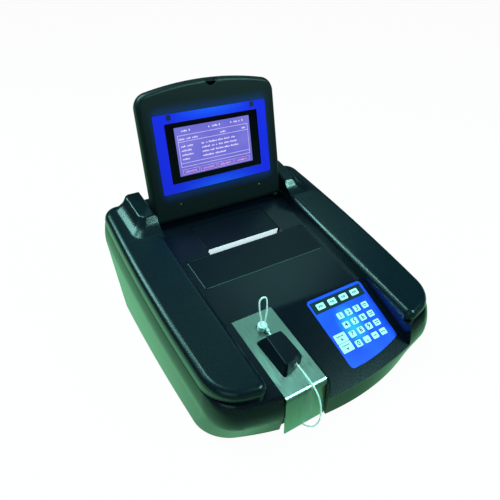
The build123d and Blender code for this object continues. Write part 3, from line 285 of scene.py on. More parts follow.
def merged_copy(node_name, piece_name, material, sharp=32.0):
    """A smooth-shaded piece from a CAD node's mesh, its loose triangles welded first."""
    shape = bmesh.new()
    shape.from_mesh(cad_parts[node_name].data)
    bmesh.ops.remove_doubles(shape, verts=shape.verts, dist=2e-6)
    mesh = bpy.data.meshes.new(piece_name)
    shape.to_mesh(mesh)
    shape.free()
    for extra in ("custom_normal", "sharp_face", "sharp_edge"):
        if extra in mesh.attributes:
            mesh.attributes.remove(mesh.attributes[extra])
    mesh.shade_smooth()
    mesh.set_sharp_from_angle(angle=math.radians(sharp))
    mesh.materials.clear()
    mesh.materials.append(material)
    piece = bpy.data.objects.new(piece_name, mesh)
    bpy.context.scene.collection.objects.link(piece)
    even = piece.modifiers.new("even_faces", "WEIGHTED_NORMAL")
    even.weight = 90
    even.keep_sharp = True
    return piece


cover = merged_copy("top_cover", "cover_shell", case_black)
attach(cover, "case")
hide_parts("top_cover")

# Printer door, fixed panel and light shield.
# Three loose mouldings of the same black ABS, smoother than the cover because they
# come from a polished tool; the door turns on two stub pins, the shield lifts off.
door_half_width = 92.5
door_middle = 24.85
door_half_depth = 25.75
edge_highlight_width = 0.9
edge_highlight_fade = 0.4
door_black, output = new_material("smooth_black_abs")
# an even satin skin with very fine flow marks
where = add_node(door_black, "TexCoord")
flow = add_node(door_black, "TexNoise", {"Vector": where.outputs["Object"], "Scale": 700.0, "Detail": 3.0})
drift = add_node(door_black, "TexNoise", {"Vector": where.outputs["Object"], "Scale": 14.0, "Detail": 2.0})
tone = add_node(door_black, "ValToRGB", {"Fac": drift.outputs[0]})
tone.color_ramp.elements[0].position = 0.3
tone.color_ramp.elements[0].color = linear("#060b14")
tone.color_ramp.elements[1].position = 0.7
tone.color_ramp.elements[1].color = linear("#0a111b")
# painted highlight: a pale hair line all round the door's top face, standing in for the light its edge
# catches
place = local_place(door_black, -slope, deck_origin)
axes = add_node(door_black, "SeparateXYZ", {0: place.outputs[0]})
off_x = add_node(door_black, "Math", {0: axes.outputs[0]}, operation="ABSOLUTE")
past_x = add_node(door_black, "Math", {0: off_x.outputs[0], 1: door_half_width * mm},
                  operation="SUBTRACT")
off_s = add_node(door_black, "Math", {0: axes.outputs[1], 1: door_middle * mm}, operation="SUBTRACT")
abs_s = add_node(door_black, "Math", {0: off_s.outputs[0]}, operation="ABSOLUTE")
past_s = add_node(door_black, "Math", {0: abs_s.outputs[0], 1: door_half_depth * mm},
                  operation="SUBTRACT")
edge_gap = add_node(door_black, "Math", {0: past_x.outputs[0], 1: past_s.outputs[0]}, operation="MAXIMUM")
rim_in = add_node(door_black, "MapRange", {0: edge_gap.outputs[0], 1: -edge_highlight_width * mm,
                                           2: (edge_highlight_fade - edge_highlight_width) * mm, 3: 0.0, 4: 1.0})
rim_out = add_node(door_black, "MapRange", {0: edge_gap.outputs[0], 1: 0.1 * mm, 2: 0.2 * mm, 3: 1.0, 4: 0.0})
painted_edge_highlight = add_node(door_black, "Math", {0: rim_in.outputs[0], 1: rim_out.outputs[0]}, operation="MULTIPLY")
tone = add_node(door_black, "Mix", {0: painted_edge_highlight.outputs[0], 6: tone.outputs[0], 7: linear("#4a5659")},
                data_type="RGBA")
rough = add_node(door_black, "MapRange", {0: flow.outputs[0], 1: 0.3, 2: 0.7, 3: 0.3, 4: 0.4})
bump = add_node(door_black, "Bump", {"Height": flow.outputs[0], "Strength": 0.12, "Distance": 0.05 * mm})
skin = add_node(door_black, "BsdfPrincipled", {
    "Base Color": tone.outputs[2], "Roughness": rough.outputs[0], "IOR": 1.52,
    "Specular IOR Level": 0.14, "Normal": bump.outputs[0]})
door_black.node_tree.links.new(skin.outputs[0], output.inputs["Surface"])
for node_name, piece_name, body in (("printer_door", "bay_door_leaf", "bay_door"),
                                    ("printer_panel", "bay_rear_panel", "case"),
                                    ("light_shield", "sipper_light_shield", "shield")):
    leaf = merged_copy(node_name, piece_name, door_black)
    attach(leaf, body)
    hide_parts(node_name)

# Display lid.
# Two moulded half shells of the same ABS, screwed together, which swing on two
# steel pins. The front carries a printed blue panel round the display; a painted glow
# of the panel's blue fades out over the black above and below.
lean = math.radians(10.45)
lid_origin = Vector((0, 113.752, 143.492)) * mm
lid_turn = lean - math.pi / 2
print_middle = 81.2
print_half_width = 76.0
print_half_height = 49.0
lid_black, output = new_material("lid_black_abs")
# matt black, with a painted glow: the blue of the panel fades out over it near the panel
place = local_place(lid_black, lid_turn, lid_origin)
axes = add_node(lid_black, "SeparateXYZ", {0: place.outputs[0]})
off_x = add_node(lid_black, "Math", {0: axes.outputs[0]}, operation="ABSOLUTE")
past_x = add_node(lid_black, "Math", {0: off_x.outputs[0], 1: print_half_width * mm},
                  operation="SUBTRACT")
past_x0 = add_node(lid_black, "Math", {0: past_x.outputs[0], 1: 0.0}, operation="MAXIMUM")
off_v = add_node(lid_black, "Math", {0: axes.outputs[1], 1: print_middle * mm}, operation="SUBTRACT")
abs_v = add_node(lid_black, "Math", {0: off_v.outputs[0]}, operation="ABSOLUTE")
past_v = add_node(lid_black, "Math", {0: abs_v.outputs[0], 1: print_half_height * mm},
                  operation="SUBTRACT")
past_v0 = add_node(lid_black, "Math", {0: past_v.outputs[0], 1: 0.0}, operation="MAXIMUM")
both = add_node(lid_black, "CombineXYZ", {0: past_x0.outputs[0], 1: past_v0.outputs[0]})
far = add_node(lid_black, "VectorMath", {0: both.outputs[0]}, operation="LENGTH")
fade = add_node(lid_black, "MapRange", {0: far.outputs["Value"], 1: 1.0 * mm, 2: 17.0 * mm, 3: 0.75, 4: 0.0},
                interpolation_type="SMOOTHSTEP")
front = add_node(lid_black, "MapRange", {0: axes.outputs[2], 1: -3.0 * mm, 2: -0.8 * mm, 3: 0.0, 4: 1.0})
panel_glow_spill = add_node(lid_black, "Math", {0: fade.outputs[0], 1: front.outputs[0]}, operation="MULTIPLY")
speck = add_node(lid_black, "TexNoise", {"Vector": place.outputs[0], "Scale": 800.0, "Detail": 3.0})
tone = add_node(lid_black, "Mix", {0: panel_glow_spill.outputs[0], 6: linear("#0a1117"), 7: linear("#0c2c6e")},
                data_type="RGBA")
rough = add_node(lid_black, "MapRange", {0: speck.outputs[0], 1: 0.3, 2: 0.7, 3: 0.36, 4: 0.5})
bump = add_node(lid_black, "Bump", {"Height": speck.outputs[0], "Strength": 0.15, "Distance": 0.06 * mm})
skin = add_node(lid_black, "BsdfPrincipled", {
    "Base Color": tone.outputs[2], "Roughness": rough.outputs[0], "IOR": 1.5,
    "Specular IOR Level": 0.32, "Normal": bump.outputs[0]})
lid_black.node_tree.links.new(skin.outputs[0], output.inputs["Surface"])
for node_name, piece_name in (("lid_front", "lid_front_shell"), ("lid_back", "lid_back_shell")):
    shell = merged_copy(node_name, piece_name, lid_black)
    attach(shell, "display_lid")
    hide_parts(node_name)

# Blue panel round the display.
# A second-surface printed polycarbonate film, cut round the display window and
# glued into a shallow seat of the lid.


def wear(node_name, material):
    """Gives a CAD node's own object a material in every slot it has."""
    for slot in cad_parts[node_name].material_slots:
        slot.material = material


bezel_blue, output = new_material("blue_printed_film")
# deep saturated blue that lightens in the middle of the long sides, under a satin face; an emission of the
# same blue paints a glow over it
place = local_place(bezel_blue, lid_turn, lid_origin)
axes = add_node(bezel_blue, "SeparateXYZ", {0: place.outputs[0]})
off_x = add_node(bezel_blue, "Math", {0: axes.outputs[0]}, operation="ABSOLUTE")
middle = add_node(bezel_blue, "MapRange", {0: off_x.outputs[0], 1: 0.0, 2: 74.0 * mm, 3: 1.0, 4: 0.0},
                  interpolation_type="SMOOTHSTEP")
off_v = add_node(bezel_blue, "Math", {0: axes.outputs[1], 1: print_middle * mm}, operation="SUBTRACT")
abs_v = add_node(bezel_blue, "Math", {0: off_v.outputs[0]}, operation="ABSOLUTE")
outer = add_node(bezel_blue, "MapRange", {0: abs_v.outputs[0], 1: 34.0 * mm, 2: 50.0 * mm, 3: 0.0, 4: 1.0})
light = add_node(bezel_blue, "Math", {0: middle.outputs[0], 1: outer.outputs[0]}, operation="MULTIPLY")
dots = add_node(bezel_blue, "TexNoise", {"Vector": place.outputs[0], "Scale": 1200.0, "Detail": 2.0})
tone = add_node(bezel_blue, "Mix", {0: light.outputs[0], 6: linear("#1420dd"), 7: linear("#1452f2")},
                data_type="RGBA")
rough = add_node(bezel_blue, "MapRange", {0: dots.outputs[0], 1: 0.3, 2: 0.7, 3: 0.3, 4: 0.38})
skin = add_node(bezel_blue, "BsdfPrincipled", {
    "Base Color": tone.outputs[2], "Roughness": rough.outputs[0], "IOR": 1.5, "Specular IOR Level": 0.35,
    "Emission Color": tone.outputs[2], "Emission Strength": 0.25})
bezel_blue.node_tree.links.new(skin.outputs[0], output.inputs["Surface"])
wear("bezel_panel", bezel_blue)

# Display.
# A backlit blue-mode liquid crystal module behind the window: a black surround,
# the lit field, and rows of plain marks where a real unit would show its menu.
lit_half = 57.0
lit_low = 50.0
lit_high = 113.8
glass_w = -1.5
display_glass, output = new_material("backlit_lcd_glass")
# lavender light behind a glossy sheet, faintly cloudy, inside a black surround
place = local_place(display_glass, lid_turn, lid_origin)
axes = add_node(display_glass, "SeparateXYZ", {0: place.outputs[0]})
off_x = add_node(display_glass, "Math", {0: axes.outputs[0]}, operation="ABSOLUTE")
in_x = add_node(display_glass, "MapRange", {0: off_x.outputs[0], 1: (lit_half + 0.2) * mm,
                                            2: (lit_half - 0.2) * mm, 3: 0.0, 4: 1.0})
off_v = add_node(display_glass, "Math", {0: axes.outputs[1], 1: (lit_low + lit_high) / 2 * mm},
                 operation="SUBTRACT")
abs_v = add_node(display_glass, "Math", {0: off_v.outputs[0]}, operation="ABSOLUTE")
in_v = add_node(display_glass, "MapRange", {0: abs_v.outputs[0], 1: ((lit_high - lit_low) / 2 + 0.2) * mm,
                                            2: ((lit_high - lit_low) / 2 - 0.2) * mm, 3: 0.0, 4: 1.0})
lit = add_node(display_glass, "Math", {0: in_x.outputs[0], 1: in_v.outputs[0]}, operation="MULTIPLY")
cells = add_node(display_glass, "TexNoise", {"Vector": place.outputs[0], "Scale": 28.0, "Detail": 2.0})
glow = add_node(display_glass, "ValToRGB", {"Fac": cells.outputs[0]})
glow.color_ramp.elements[0].position = 0.3
glow.color_ramp.elements[0].color = linear("#6d66cf")
glow.color_ramp.elements[1].position = 0.7
glow.color_ramp.elements[1].color = linear("#817bdc")
tone = add_node(display_glass, "Mix", {0: lit.outputs[0], 6: linear("#07070c"), 7: linear("#2c2a55")},
                data_type="RGBA")
shine = add_node(display_glass, "Mix", {0: lit.outputs[0], 6: linear("#000000"), 7: glow.outputs[0]},
                 data_type="RGBA")
skin = add_node(display_glass, "BsdfPrincipled", {
    "Base Color": tone.outputs[2], "Roughness": 0.14, "IOR": 1.5, "Specular IOR Level": 0.3,
    "Emission Color": shine.outputs[2], "Emission Strength": 0.9})
display_glass.node_tree.links.new(skin.outputs[0], output.inputs["Surface"])
wear("lcd_module", display_glass)


lid_place = Matrix.Translation(lid_origin) @ Matrix.Rotation(math.pi / 2 - lean, 4, "X")
mark_thick = 0.04
letter_pitch = 2.1
letter_wide = 1.45
rule_wide = 0.45
screen_marks, output = new_material("lit_lcd_marks")
# the open segments of the display, pinkish white and a little uneven
where = add_node(screen_marks, "TexCoord")
uneven = add_node(screen_marks, "TexNoise", {"Vector": where.outputs["Object"], "Scale": 300.0})
tone = add_node(screen_marks, "ValToRGB", {"Fac": uneven.outputs[0]})
tone.color_ramp.elements[0].position = 0.3
tone.color_ramp.elements[0].color = linear("#e2c6ee")
tone.color_ramp.elements[1].position = 0.7
tone.color_ramp.elements[1].color = linear("#fbeeff")
skin = add_node(screen_marks, "BsdfPrincipled", {
    "Base Color": linear("#8a7aa8"), "Roughness": 0.3, "Emission Color": tone.outputs[0],
    "Emission Strength": 0.85})
screen_marks.node_tree.links.new(skin.outputs[0], output.inputs["Surface"])


def add_mark(shape, u, v, wide, high, thick, low):
    """A flat printed or lit mark: a thin block with its corner at u, v on a face's own axes."""
    made = bmesh.ops.create_cube(shape, size=1.0)
    bmesh.ops.scale(shape, verts=made["verts"], vec=(wide * mm, high * mm, thick * mm))
    bmesh.ops.translate(shape, verts=made["verts"],
                        vec=((u + wide / 2) * mm, (v + high / 2) * mm, (low + thick / 2) * mm))


def finish_marks(shape, piece_name, turn, material, body):
    """Puts a bmesh drawn on a face's own axes in its place and makes it a piece."""
    bmesh.ops.transform(shape, matrix=turn, verts=shape.verts)
    mesh = bpy.data.meshes.new(piece_name)
    shape.to_mesh(mesh)
    shape.free()
    mesh.materials.append(material)
    piece = bpy.data.objects.new(piece_name, mesh)
    bpy.context.scene.collection.objects.link(piece)
    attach(piece, body)
    return piece


shape = bmesh.new()
# rows of words: height up the lid, letter height, then the start and width of each word
mark_rows = [
    (107.4, 2.3, [(-47, 9), (-36, 2.5), (-7, 3), (-1.5, 8), (9, 3), (27, 3), (32, 6), (40, 3), (45, 3)]),
    (97.2, 2.2, [(-52, 9), (-41, 6.5), (-32.5, 8), (10, 8), (44, 7)]),
    (87.6, 2.2, [(-50, 7), (-41, 9), (-20, 5), (-13, 2), (-9, 12), (5, 8), (15, 9), (26, 7)]),
    (82.0, 2.2, [(-50, 14), (-20, 13), (-5, 4), (1.5, 2), (6, 6), (14, 8), (24, 11)]),
    (76.4, 2.2, [(-50, 16), (-20, 10), (-8, 6), (0, 12), (14, 8), (24, 12)]),
    (70.8, 2.2, [(-50, 10), (-20, 17), (-1, 16)]),
]
for v, high, words in mark_rows:
    for u, wide in words:
        for i in range(max(1, round(wide / letter_pitch))):
            tall = high * (0.72 if (i * 7 + round(u)) % 3 else 1.0)
            add_mark(shape, u + i * letter_pitch, v, letter_wide, tall, mark_thick, glass_w)
rule_left = -53.5
rule_foot = 61.6
for v in (94.6, 102.8, 66.4, rule_foot):
    add_mark(shape, rule_left, v, 107.0, rule_wide, mark_thick, glass_w)
for u in (rule_left, 53.05):
    add_mark(shape, u, rule_foot, rule_wide, 41.2, mark_thick, glass_w)
finish_marks(shape, "display_menu_marks", lid_place, screen_marks, "display_lid")

soft_marks, output = new_material("lit_lcd_soft_keys")
# the four boxes along the bottom, rose where the colour filter lets red through
where = add_node(soft_marks, "TexCoord")
uneven = add_node(soft_marks, "TexNoise", {"Vector": where.outputs["Object"], "Scale": 260.0})
tone = add_node(soft_marks, "ValToRGB", {"Fac": uneven.outputs[0]})
tone.color_ramp.elements[0].position = 0.35
tone.color_ramp.elements[0].color = linear("#d288c9")
tone.color_ramp.elements[1].position = 0.65
tone.color_ramp.elements[1].color = linear("#f0bfe6")
skin = add_node(soft_marks, "BsdfPrincipled", {
    "Base Color": linear("#80508a"), "Roughness": 0.3, "Emission Color": tone.outputs[0],
    "Emission Strength": 0.8})
soft_marks.node_tree.links.new(skin.outputs[0], output.inputs["Surface"])
box_left = -52.5
box_pitch = 26.6
box_wide = 24.6
box_tall = 6.8
box_foot = 51.6
shape = bmesh.new()
for column in range(4):
    left = box_left + box_pitch * column
    for u, v, wide, high in ((left, box_foot, box_wide, rule_wide), (left, 58.0, box_wide, rule_wide),
                             (left, box_foot, rule_wide, box_tall),
                             (left + 24.2, box_foot, rule_wide, box_tall)):
        add_mark(shape, u, v, wide, high, mark_thick, glass_w)
    for i in range(8):
        add_mark(shape, left + 4.0 + letter_pitch * i, 53.7, letter_wide, 2.3 if i % 3 else 1.7,
                 mark_thick, glass_w)
finish_marks(shape, "display_soft_key_boxes", lid_place, soft_marks, "display_lid")

# Keypad film.
# A polycarbonate film printed from behind, glued over one moulded panel: blue with
# a dark band round the four upper keys and a paler patch behind the digits.
steep = math.radians(26.9)
facet_origin = Vector((0, -68.0, 81.72)) * mm
facet_place = Matrix.Translation(facet_origin) @ Matrix.Rotation(steep, 4, "X")
keypad_blue, output = new_material("printed_keypad_film")
# bright ink under a fine-grained face, with a paler patch behind the digits
place = local_place(keypad_blue, -steep, facet_origin)
axes = add_node(keypad_blue, "SeparateXYZ", {0: place.outputs[0]})
centre = add_node(keypad_blue, "VectorMath", {0: place.outputs[0], 1: (47 * mm, -52 * mm, 0)},
                  operation="SUBTRACT")
apart = add_node(keypad_blue, "VectorMath", {0: centre.outputs[0], 1: (1.0, 0.62, 0.0)}, operation="MULTIPLY")
far = add_node(keypad_blue, "VectorMath", {0: apart.outputs[0]}, operation="LENGTH")
patch = add_node(keypad_blue, "MapRange", {0: far.outputs["Value"], 1: 2 * mm, 2: 22 * mm, 3: 0.6, 4: 0.0},
                 interpolation_type="SMOOTHSTEP")
# the dark band: across or up, the two ends of each soft edge, and its tone at them
band = None
for axis, start, end, before, after in ((1, -22.4, -21.8, 0.0, 1.0), (1, -6.0, -5.4, 1.0, 0.0),
                                        (0, 10.4, 11.0, 0.0, 1.0), (0, 92.6, 93.2, 1.0, 0.0)):
    edge = add_node(keypad_blue, "MapRange", {0: axes.outputs[axis], 1: start * mm, 2: end * mm,
                                              3: before, 4: after})
    if band is not None:
        edge = add_node(keypad_blue, "Math", {0: band.outputs[0], 1: edge.outputs[0]}, operation="MULTIPLY")
    band = edge
face_grain = add_node(keypad_blue, "TexNoise", {"Vector": place.outputs[0], "Scale": 1100.0, "Detail": 2.0})
wash = add_node(keypad_blue, "TexNoise", {"Vector": place.outputs[0], "Scale": 22.0, "Detail": 2.0})
blues = add_node(keypad_blue, "ValToRGB", {"Fac": wash.outputs[0]})
blues.color_ramp.elements[0].position = 0.3
blues.color_ramp.elements[0].color = linear("#123ee6")
blues.color_ramp.elements[1].position = 0.7
blues.color_ramp.elements[1].color = linear("#1f55f4")
tone = add_node(keypad_blue, "Mix", {0: patch.outputs[0], 6: blues.outputs[0], 7: linear("#35c4f0")},
                data_type="RGBA")
tone = add_node(keypad_blue, "Mix", {0: band.outputs[0], 6: tone.outputs[2], 7: linear("#0e2430")},
                data_type="RGBA")
rough = add_node(keypad_blue, "MapRange", {0: face_grain.outputs[0], 1: 0.3, 2: 0.7, 3: 0.36, 4: 0.5})
bump = add_node(keypad_blue, "Bump", {"Height": face_grain.outputs[0], "Strength": 0.1,
                                      "Distance": 0.03 * mm})
skin = add_node(keypad_blue, "BsdfPrincipled", {
    "Base Color": tone.outputs[2], "Roughness": rough.outputs[0], "IOR": 1.5, "Specular IOR Level": 0.3,
    "Normal": bump.outputs[0]})
keypad_blue.node_tree.links.new(skin.outputs[0], output.inputs["Surface"])
wear("keypad_panel", keypad_blue)

# Keys.
# Twenty-two pale caps under the film's windows, each with its own print: plain
# digits on the number keys, short bars where the real ones carry words.
key_pale, output = new_material("pale_key_caps")
# mint-white plastic with a faint mottle and a satin top; an emission of its own colour paints light over it
where = add_node(key_pale, "TexCoord")
mottle = add_node(key_pale, "TexNoise", {"Vector": where.outputs["Object"], "Scale": 420.0, "Detail": 2.0})
tone = add_node(key_pale, "ValToRGB", {"Fac": mottle.outputs[0]})
tone.color_ramp.elements[0].position = 0.3
tone.color_ramp.elements[0].color = linear("#b9e2dc")
tone.color_ramp.elements[1].position = 0.7
tone.color_ramp.elements[1].color = linear("#d3f4ec")
skin = add_node(key_pale, "BsdfPrincipled", {
    "Base Color": tone.outputs[0], "Roughness": 0.42, "IOR": 1.5, "Emission Color": tone.outputs[0],
    "Emission Strength": 0.2})
key_pale.node_tree.links.new(skin.outputs[0], output.inputs["Surface"])
key_ink, output = new_material("navy_key_print")
# thin matt ink, slightly uneven where the screen printed it
where = add_node(key_ink, "TexCoord")
uneven = add_node(key_ink, "TexNoise", {"Vector": where.outputs["Object"], "Scale": 900.0})
tone = add_node(key_ink, "ValToRGB", {"Fac": uneven.outputs[0]})
tone.color_ramp.elements[0].color = linear("#0d1c33")
tone.color_ramp.elements[1].color = linear("#1b3050")
skin = add_node(key_ink, "BsdfPrincipled", {"Base Color": tone.outputs[0], "Roughness": 0.6})
key_ink.node_tree.links.new(skin.outputs[0], output.inputs["Surface"])

key_names = [["key_1", "key_2", "key_3", "key_print"], ["key_4", "key_5", "key_6", "key_wash"],
             ["key_7", "key_8", "key_9", "key_menu"], ["key_0", "key_point", "key_minus", "key_enter"]]
key_left = 40.2
key_pitch_across = 13.67
key_first_row = -35.0
key_pitch_down = 13.41
key_top = 0.7
digit_height = 8.2
soft_left = 23.5
soft_pitch = 18.5
soft_row = -14.0
large_middle = 22.6


def print_bars(bars, name):
    """The print of one key as bars: start across, start up, width and height of each."""
    shape = bmesh.new()
    for u, v, wide, high in bars:
        add_mark(shape, u, v, wide, high, mark_thick, key_top)
    finish_marks(shape, "print_" + name, facet_place, key_ink, name + "_cap")


for row, names in enumerate(key_names):
    for column, name in enumerate(names):
        wear(name, key_pale)
        u = key_left + key_pitch_across * column
        v = key_first_row - key_pitch_down * row
        legend = name[4:]
        if legend == "point":
            print_bars([(u - 0.9, v - 2.4, 1.8, 1.8)], name)
        elif legend == "minus":
            print_bars([(u - 2.0, v - 0.6, 4.0, 1.2)], name)
        elif legend == "enter":
            print_bars([(u - 3.2, v - 0.5, 6.4, 1.1)], name)
        elif not legend.isdigit():
            print_bars([(u - 3.2, v + 0.7, 6.4, 1.1), (u - 2.4, v - 1.7, 4.8, 1.1)], name)
        else:
            glyph_data = bpy.data.curves.new("digit_" + legend, "FONT")
            glyph_data.body = legend
            glyph_data.size = digit_height * mm
            glyph_data.offset = 0.18 * mm
            glyph_data.align_x = "CENTER"
            glyph_data.align_y = "CENTER"
            glyph_data.extrude = mark_thick / 2 * mm
            glyph = bpy.data.objects.new("digit_" + legend + "_outline", glyph_data)
            bpy.context.scene.collection.objects.link(glyph)
            bpy.context.view_layer.update()
            flat = bpy.data.meshes.new_from_object(glyph.evaluated_get(bpy.context.evaluated_depsgraph_get()))
            bpy.data.objects.remove(glyph)
            shape = bmesh.new()
            shape.from_mesh(flat)
            bmesh.ops.remove_doubles(shape, verts=shape.verts, dist=1e-7)
            bmesh.ops.translate(shape, verts=shape.verts,
                                vec=(u * mm, v * mm, (key_top + mark_thick / 2) * mm))
            finish_marks(shape, "print_" + name, facet_place, key_ink, name + "_cap")
for column in range(4):
    name = f"key_soft_{column + 1}"
    wear(name, key_pale)
    u = soft_left + soft_pitch * column
    print_bars([(u - 3.0, soft_row - 1.2, 1.6, 2.4), (u - 0.6, soft_row - 1.2, 3.8, 0.9),
                (u - 0.6, soft_row + 0.3, 3.8, 0.9)], name)
# large keys: five short bars with an arrow under them that points up or down
for name, v, way in (("key_scroll_up", -60.3, 1), ("key_scroll_down", -73.0, -1)):
    wear(name, key_pale)
    shape = bmesh.new()
    for i in range(5):
        add_mark(shape, large_middle - 5.6 + 2.3 * i, v + 1.6, 1.6, 1.5, mark_thick, key_top)
    arrow = bmesh.ops.create_cone(shape, cap_ends=True, segments=3, radius1=2.3 * mm, radius2=2.3 * mm,
                                  depth=mark_thick * mm)
    bmesh.ops.rotate(shape, verts=arrow["verts"], cent=(0, 0, 0),
                     matrix=Matrix.Rotation(math.pi / 2 * way - math.pi / 2, 3, "Z"))
    bmesh.ops.translate(shape, verts=arrow["verts"],
                        vec=(large_middle * mm, (v - 2.2) * mm, (key_top + mark_thick / 2) * mm))
    finish_marks(shape, "print_" + name, facet_place, key_ink, name + "_cap")

# Sampling plate and trigger plate.
# 1.2 mm stainless sheet, brushed along its length, bent over the front edge; the
# trigger below it is 1.5 mm sheet curled round a rod.
bright_end = -150.0
dim_end = -78.0
plate_steel, output = new_material("brushed_stainless")
# fine lines along the brushing draw the highlights out into soft streaks
place = local_place(plate_steel, -slope, deck_origin)
stretched = add_node(plate_steel, "Mapping", {"Vector": place.outputs[0], "Scale": (1.0, 0.02, 0.02)})
# brushing lines are 0.1 mm apart on the sheet; drawn 0.5 mm apart so that they show
lines = add_node(plate_steel, "TexNoise", {"Vector": stretched.outputs[0], "Scale": 2200.0, "Detail": 4.0,
                                           "Roughness": 0.65})
cloud = add_node(plate_steel, "TexNoise", {"Vector": place.outputs[0], "Scale": 30.0, "Detail": 2.0})
tone = add_node(plate_steel, "ValToRGB", {"Fac": lines.outputs[0]})
tone.color_ramp.elements[0].position = 0.25
tone.color_ramp.elements[0].color = linear("#a6b9af")
tone.color_ramp.elements[1].position = 0.75
tone.color_ramp.elements[1].color = linear("#d2e6db")
along = add_node(plate_steel, "SeparateXYZ", {0: place.outputs[0]})
# painted shade: the plate darkens towards its rear end, which leaves the front bright as if it mirrored more
# light
painted_shade_to_rear = add_node(plate_steel, "MapRange", {0: along.outputs[1], 1: bright_end * mm, 2: dim_end * mm,
                                             3: 1.0, 4: 0.45}, interpolation_type="SMOOTHSTEP")
tone = add_node(plate_steel, "Mix", {0: 1.0, 6: tone.outputs[0], 7: painted_shade_to_rear.outputs[0]},
                data_type="RGBA", blend_type="MULTIPLY")
rough = add_node(plate_steel, "MapRange", {0: lines.outputs[0], 1: 0.3, 2: 0.7, 3: 0.26, 4: 0.4})
smudge = add_node(plate_steel, "MapRange", {0: cloud.outputs[0], 1: 0.35, 2: 0.65, 3: -0.03, 4: 0.04})
rough_sum = add_node(plate_steel, "Math", {0: rough.outputs[0], 1: smudge.outputs[0]}, operation="ADD")
bump = add_node(plate_steel, "Bump", {"Height": lines.outputs[0], "Strength": 0.12, "Distance": 0.03 * mm})
skin = add_node(plate_steel, "BsdfPrincipled", {
    "Base Color": tone.outputs[2], "Metallic": 1.0, "Roughness": rough_sum.outputs[0],
    "Normal": bump.outputs[0]})
plate_steel.node_tree.links.new(skin.outputs[0], output.inputs["Surface"])
wear("sample_plate", plate_steel)
wear("trigger_plate", plate_steel)

# Flow cell cap.
# A turned acetal cap over the cell, with the tube's two bores in its top.
white_resin, output = new_material("turned_acetal")
# dense white with faint turning rings and a soft shine
where = add_node(white_resin, "TexCoord")
rings = add_node(white_resin, "TexNoise", {"Vector": where.outputs["Object"], "Scale": 380.0, "Detail": 2.0})
tone = add_node(white_resin, "ValToRGB", {"Fac": rings.outputs[0]})
tone.color_ramp.elements[0].position = 0.3
tone.color_ramp.elements[0].color = linear("#d5e4e2")
tone.color_ramp.elements[1].position = 0.7
tone.color_ramp.elements[1].color = linear("#eef8f5")
skin = add_node(white_resin, "BsdfPrincipled", {
    "Base Color": tone.outputs[0], "Roughness": 0.35, "IOR": 1.48, "Subsurface Weight": 0.1,
    "Subsurface Radius": (0.002, 0.002, 0.002)})
white_resin.node_tree.links.new(skin.outputs[0], output.inputs["Surface"])
wear("flow_cell", white_resin)

# Paper.
# Thermal paper: the roll in the bay and the end of the strip that stands in the slot.
paper_white, output = new_material("thermal_paper")
# matt white with a trace of fibre, and an emission that paints it whiter than its light
where = add_node(paper_white, "TexCoord")
fibre = add_node(paper_white, "TexNoise", {"Vector": where.outputs["Object"], "Scale": 800.0, "Detail": 4.0})
tone = add_node(paper_white, "ValToRGB", {"Fac": fibre.outputs[0]})
tone.color_ramp.elements[0].position = 0.3
tone.color_ramp.elements[0].color = linear("#e9ecf2")
tone.color_ramp.elements[1].position = 0.7
tone.color_ramp.elements[1].color = linear("#fbfbff")
bump = add_node(paper_white, "Bump", {"Height": fibre.outputs[0], "Strength": 0.1, "Distance": 0.02 * mm})
skin = add_node(paper_white, "BsdfPrincipled", {
    "Base Color": tone.outputs[0], "Roughness": 0.8, "Normal": bump.outputs[0],
    "Emission Color": linear("#f4f0ff"), "Emission Strength": 0.5})
paper_white.node_tree.links.new(skin.outputs[0], output.inputs["Surface"])
wear("paper_strip", paper_white)
wear("paper_roll", paper_white)

# Bottom pan, back panel and feet.
# The pan is folded sheet under a dark grey powder coat, the back panel is zinc-plated
# sheet with the sockets in it, and the feet are moulded rubber under the pan.


def stock_finish(name, dark, pale, metal, roughness, grain, node_names):
    """A bought finish: two tones mottled at its own grain, with the same grain as relief."""
    finish, output = new_material(name)
    where = add_node(finish, "TexCoord")
    mottle = add_node(finish, "TexNoise", {"Vector": where.outputs["Object"], "Scale": grain, "Detail": 3.0})
    tone = add_node(finish, "ValToRGB", {"Fac": mottle.outputs[0]})
    tone.color_ramp.elements[0].position = 0.3
    tone.color_ramp.elements[0].color = linear(dark)
    tone.color_ramp.elements[1].position = 0.7
    tone.color_ramp.elements[1].color = linear(pale)
    rough = add_node(finish, "MapRange", {0: mottle.outputs[0], 1: 0.3, 2: 0.7, 3: roughness - 0.06,
                                          4: roughness + 0.08})
    bump = add_node(finish, "Bump", {"Height": mottle.outputs[0], "Strength": 0.15, "Distance": 0.05 * mm})
    skin = add_node(finish, "BsdfPrincipled", {
        "Base Color": tone.outputs[0], "Metallic": metal, "Roughness": rough.outputs[0],
        "Normal": bump.outputs[0]})
    finish.node_tree.links.new(skin.outputs[0], output.inputs["Surface"])
    for node_name in node_names:
        wear(node_name, finish)


# orange peel of 3 mm in a satin coat
stock_finish("painted_pan_steel", "#20262a", "#2b3338", 0.0, 0.42, 300.0, ["base_pan"])
# the pale spangle of a plated sheet, 8 mm across
stock_finish("zinc_plated_steel", "#8d9699", "#a9b2b4", 1.0, 0.34, 120.0, ["rear_panel"])
# dull and dusty, with a fine tooth
stock_finish("moulded_foot_rubber", "#101213", "#191c1e", 0.0, 0.78, 900.0, ["rubber_feet"])

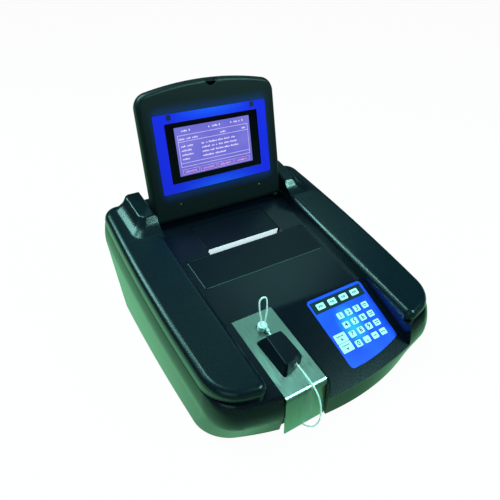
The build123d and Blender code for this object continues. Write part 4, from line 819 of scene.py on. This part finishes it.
# Pins, screws and bumpers.
# Ground steel pins carry the lid, the door and the trigger plate, zinc-plated screws
# hold the shells together, and two rubber bumpers keep the closed lid off the deck.
# bright all round, with the last trace of the grinding
stock_finish("ground_pin_steel", "#b5babd", "#d2d6d8", 1.0, 0.2, 600.0, ["hinge_pins"])
# a little milky from the plating
stock_finish("zinc_screw_steel", "#9ea4a6", "#c3c8ca", 1.0, 0.28, 500.0, ["case_screws", "lid_screws"])
# matt black, without a highlight
stock_finish("bumper_rubber", "#07090c", "#0e1115", 0.0, 0.6, 700.0, ["lid_bumpers"])

# Measuring bench and pump.
# A machined and blasted aluminium block under the deck holds the lamp and the
# filter wheel with its motor; the peristaltic pump on the pan is grey resin.
# even and silky, the blast dots 1 mm wide so that they show
stock_finish("bead_blasted_aluminium", "#8f9598", "#aab0b3", 1.0, 0.45, 900.0,
             ["optics_block", "lamp_module"])
# drawn steel with faint clouding, on the motor, the supply's box and the switch
stock_finish("motor_can_steel", "#868c90", "#a4aaad", 1.0, 0.3, 300.0,
             ["filter_motor", "power_supply", "trigger_switch"])
# black with a dull metal gleam under it
stock_finish("dark_wheel_anodising", "#1b1d20", "#2a2d31", 0.6, 0.4, 700.0, ["filter_wheel"])
# grey, slightly waxy
stock_finish("grey_pump_resin", "#4c5358", "#5c646a", 0.0, 0.45, 400.0, ["pump_housing", "pump_rotor"])

# Circuit board and sockets.
# A glass-fibre board under green solder mask stands on the pan; the power inlet,
# its rocker and the data socket are black nylon, set in holes of the back panel.
# shiny green over the darker weave
stock_finish("solder_mask_green", "#0c4a2a", "#126338", 0.0, 0.3, 220.0, ["main_board"])
# black and satin, from a fine spark-eroded tool
stock_finish("black_socket_nylon", "#0b0c0d", "#141617", 0.0, 0.45, 600.0,
             ["power_inlet", "rocker_switch", "serial_port"])

# Printer works.
# A glass-filled nylon frame in the bay carries the print head and the rubber roller
# that pulls the paper off its roll.
# ground rubber, quite matt
stock_finish("platen_rubber", "#17181a", "#222426", 0.0, 0.7, 900.0, ["platen_roller"])
# dark grey, with the filler just showing
stock_finish("filled_frame_nylon", "#2c3033", "#383d41", 0.0, 0.55, 700.0, ["printer_frame", "print_head"])

bpy.context.view_layer.update()
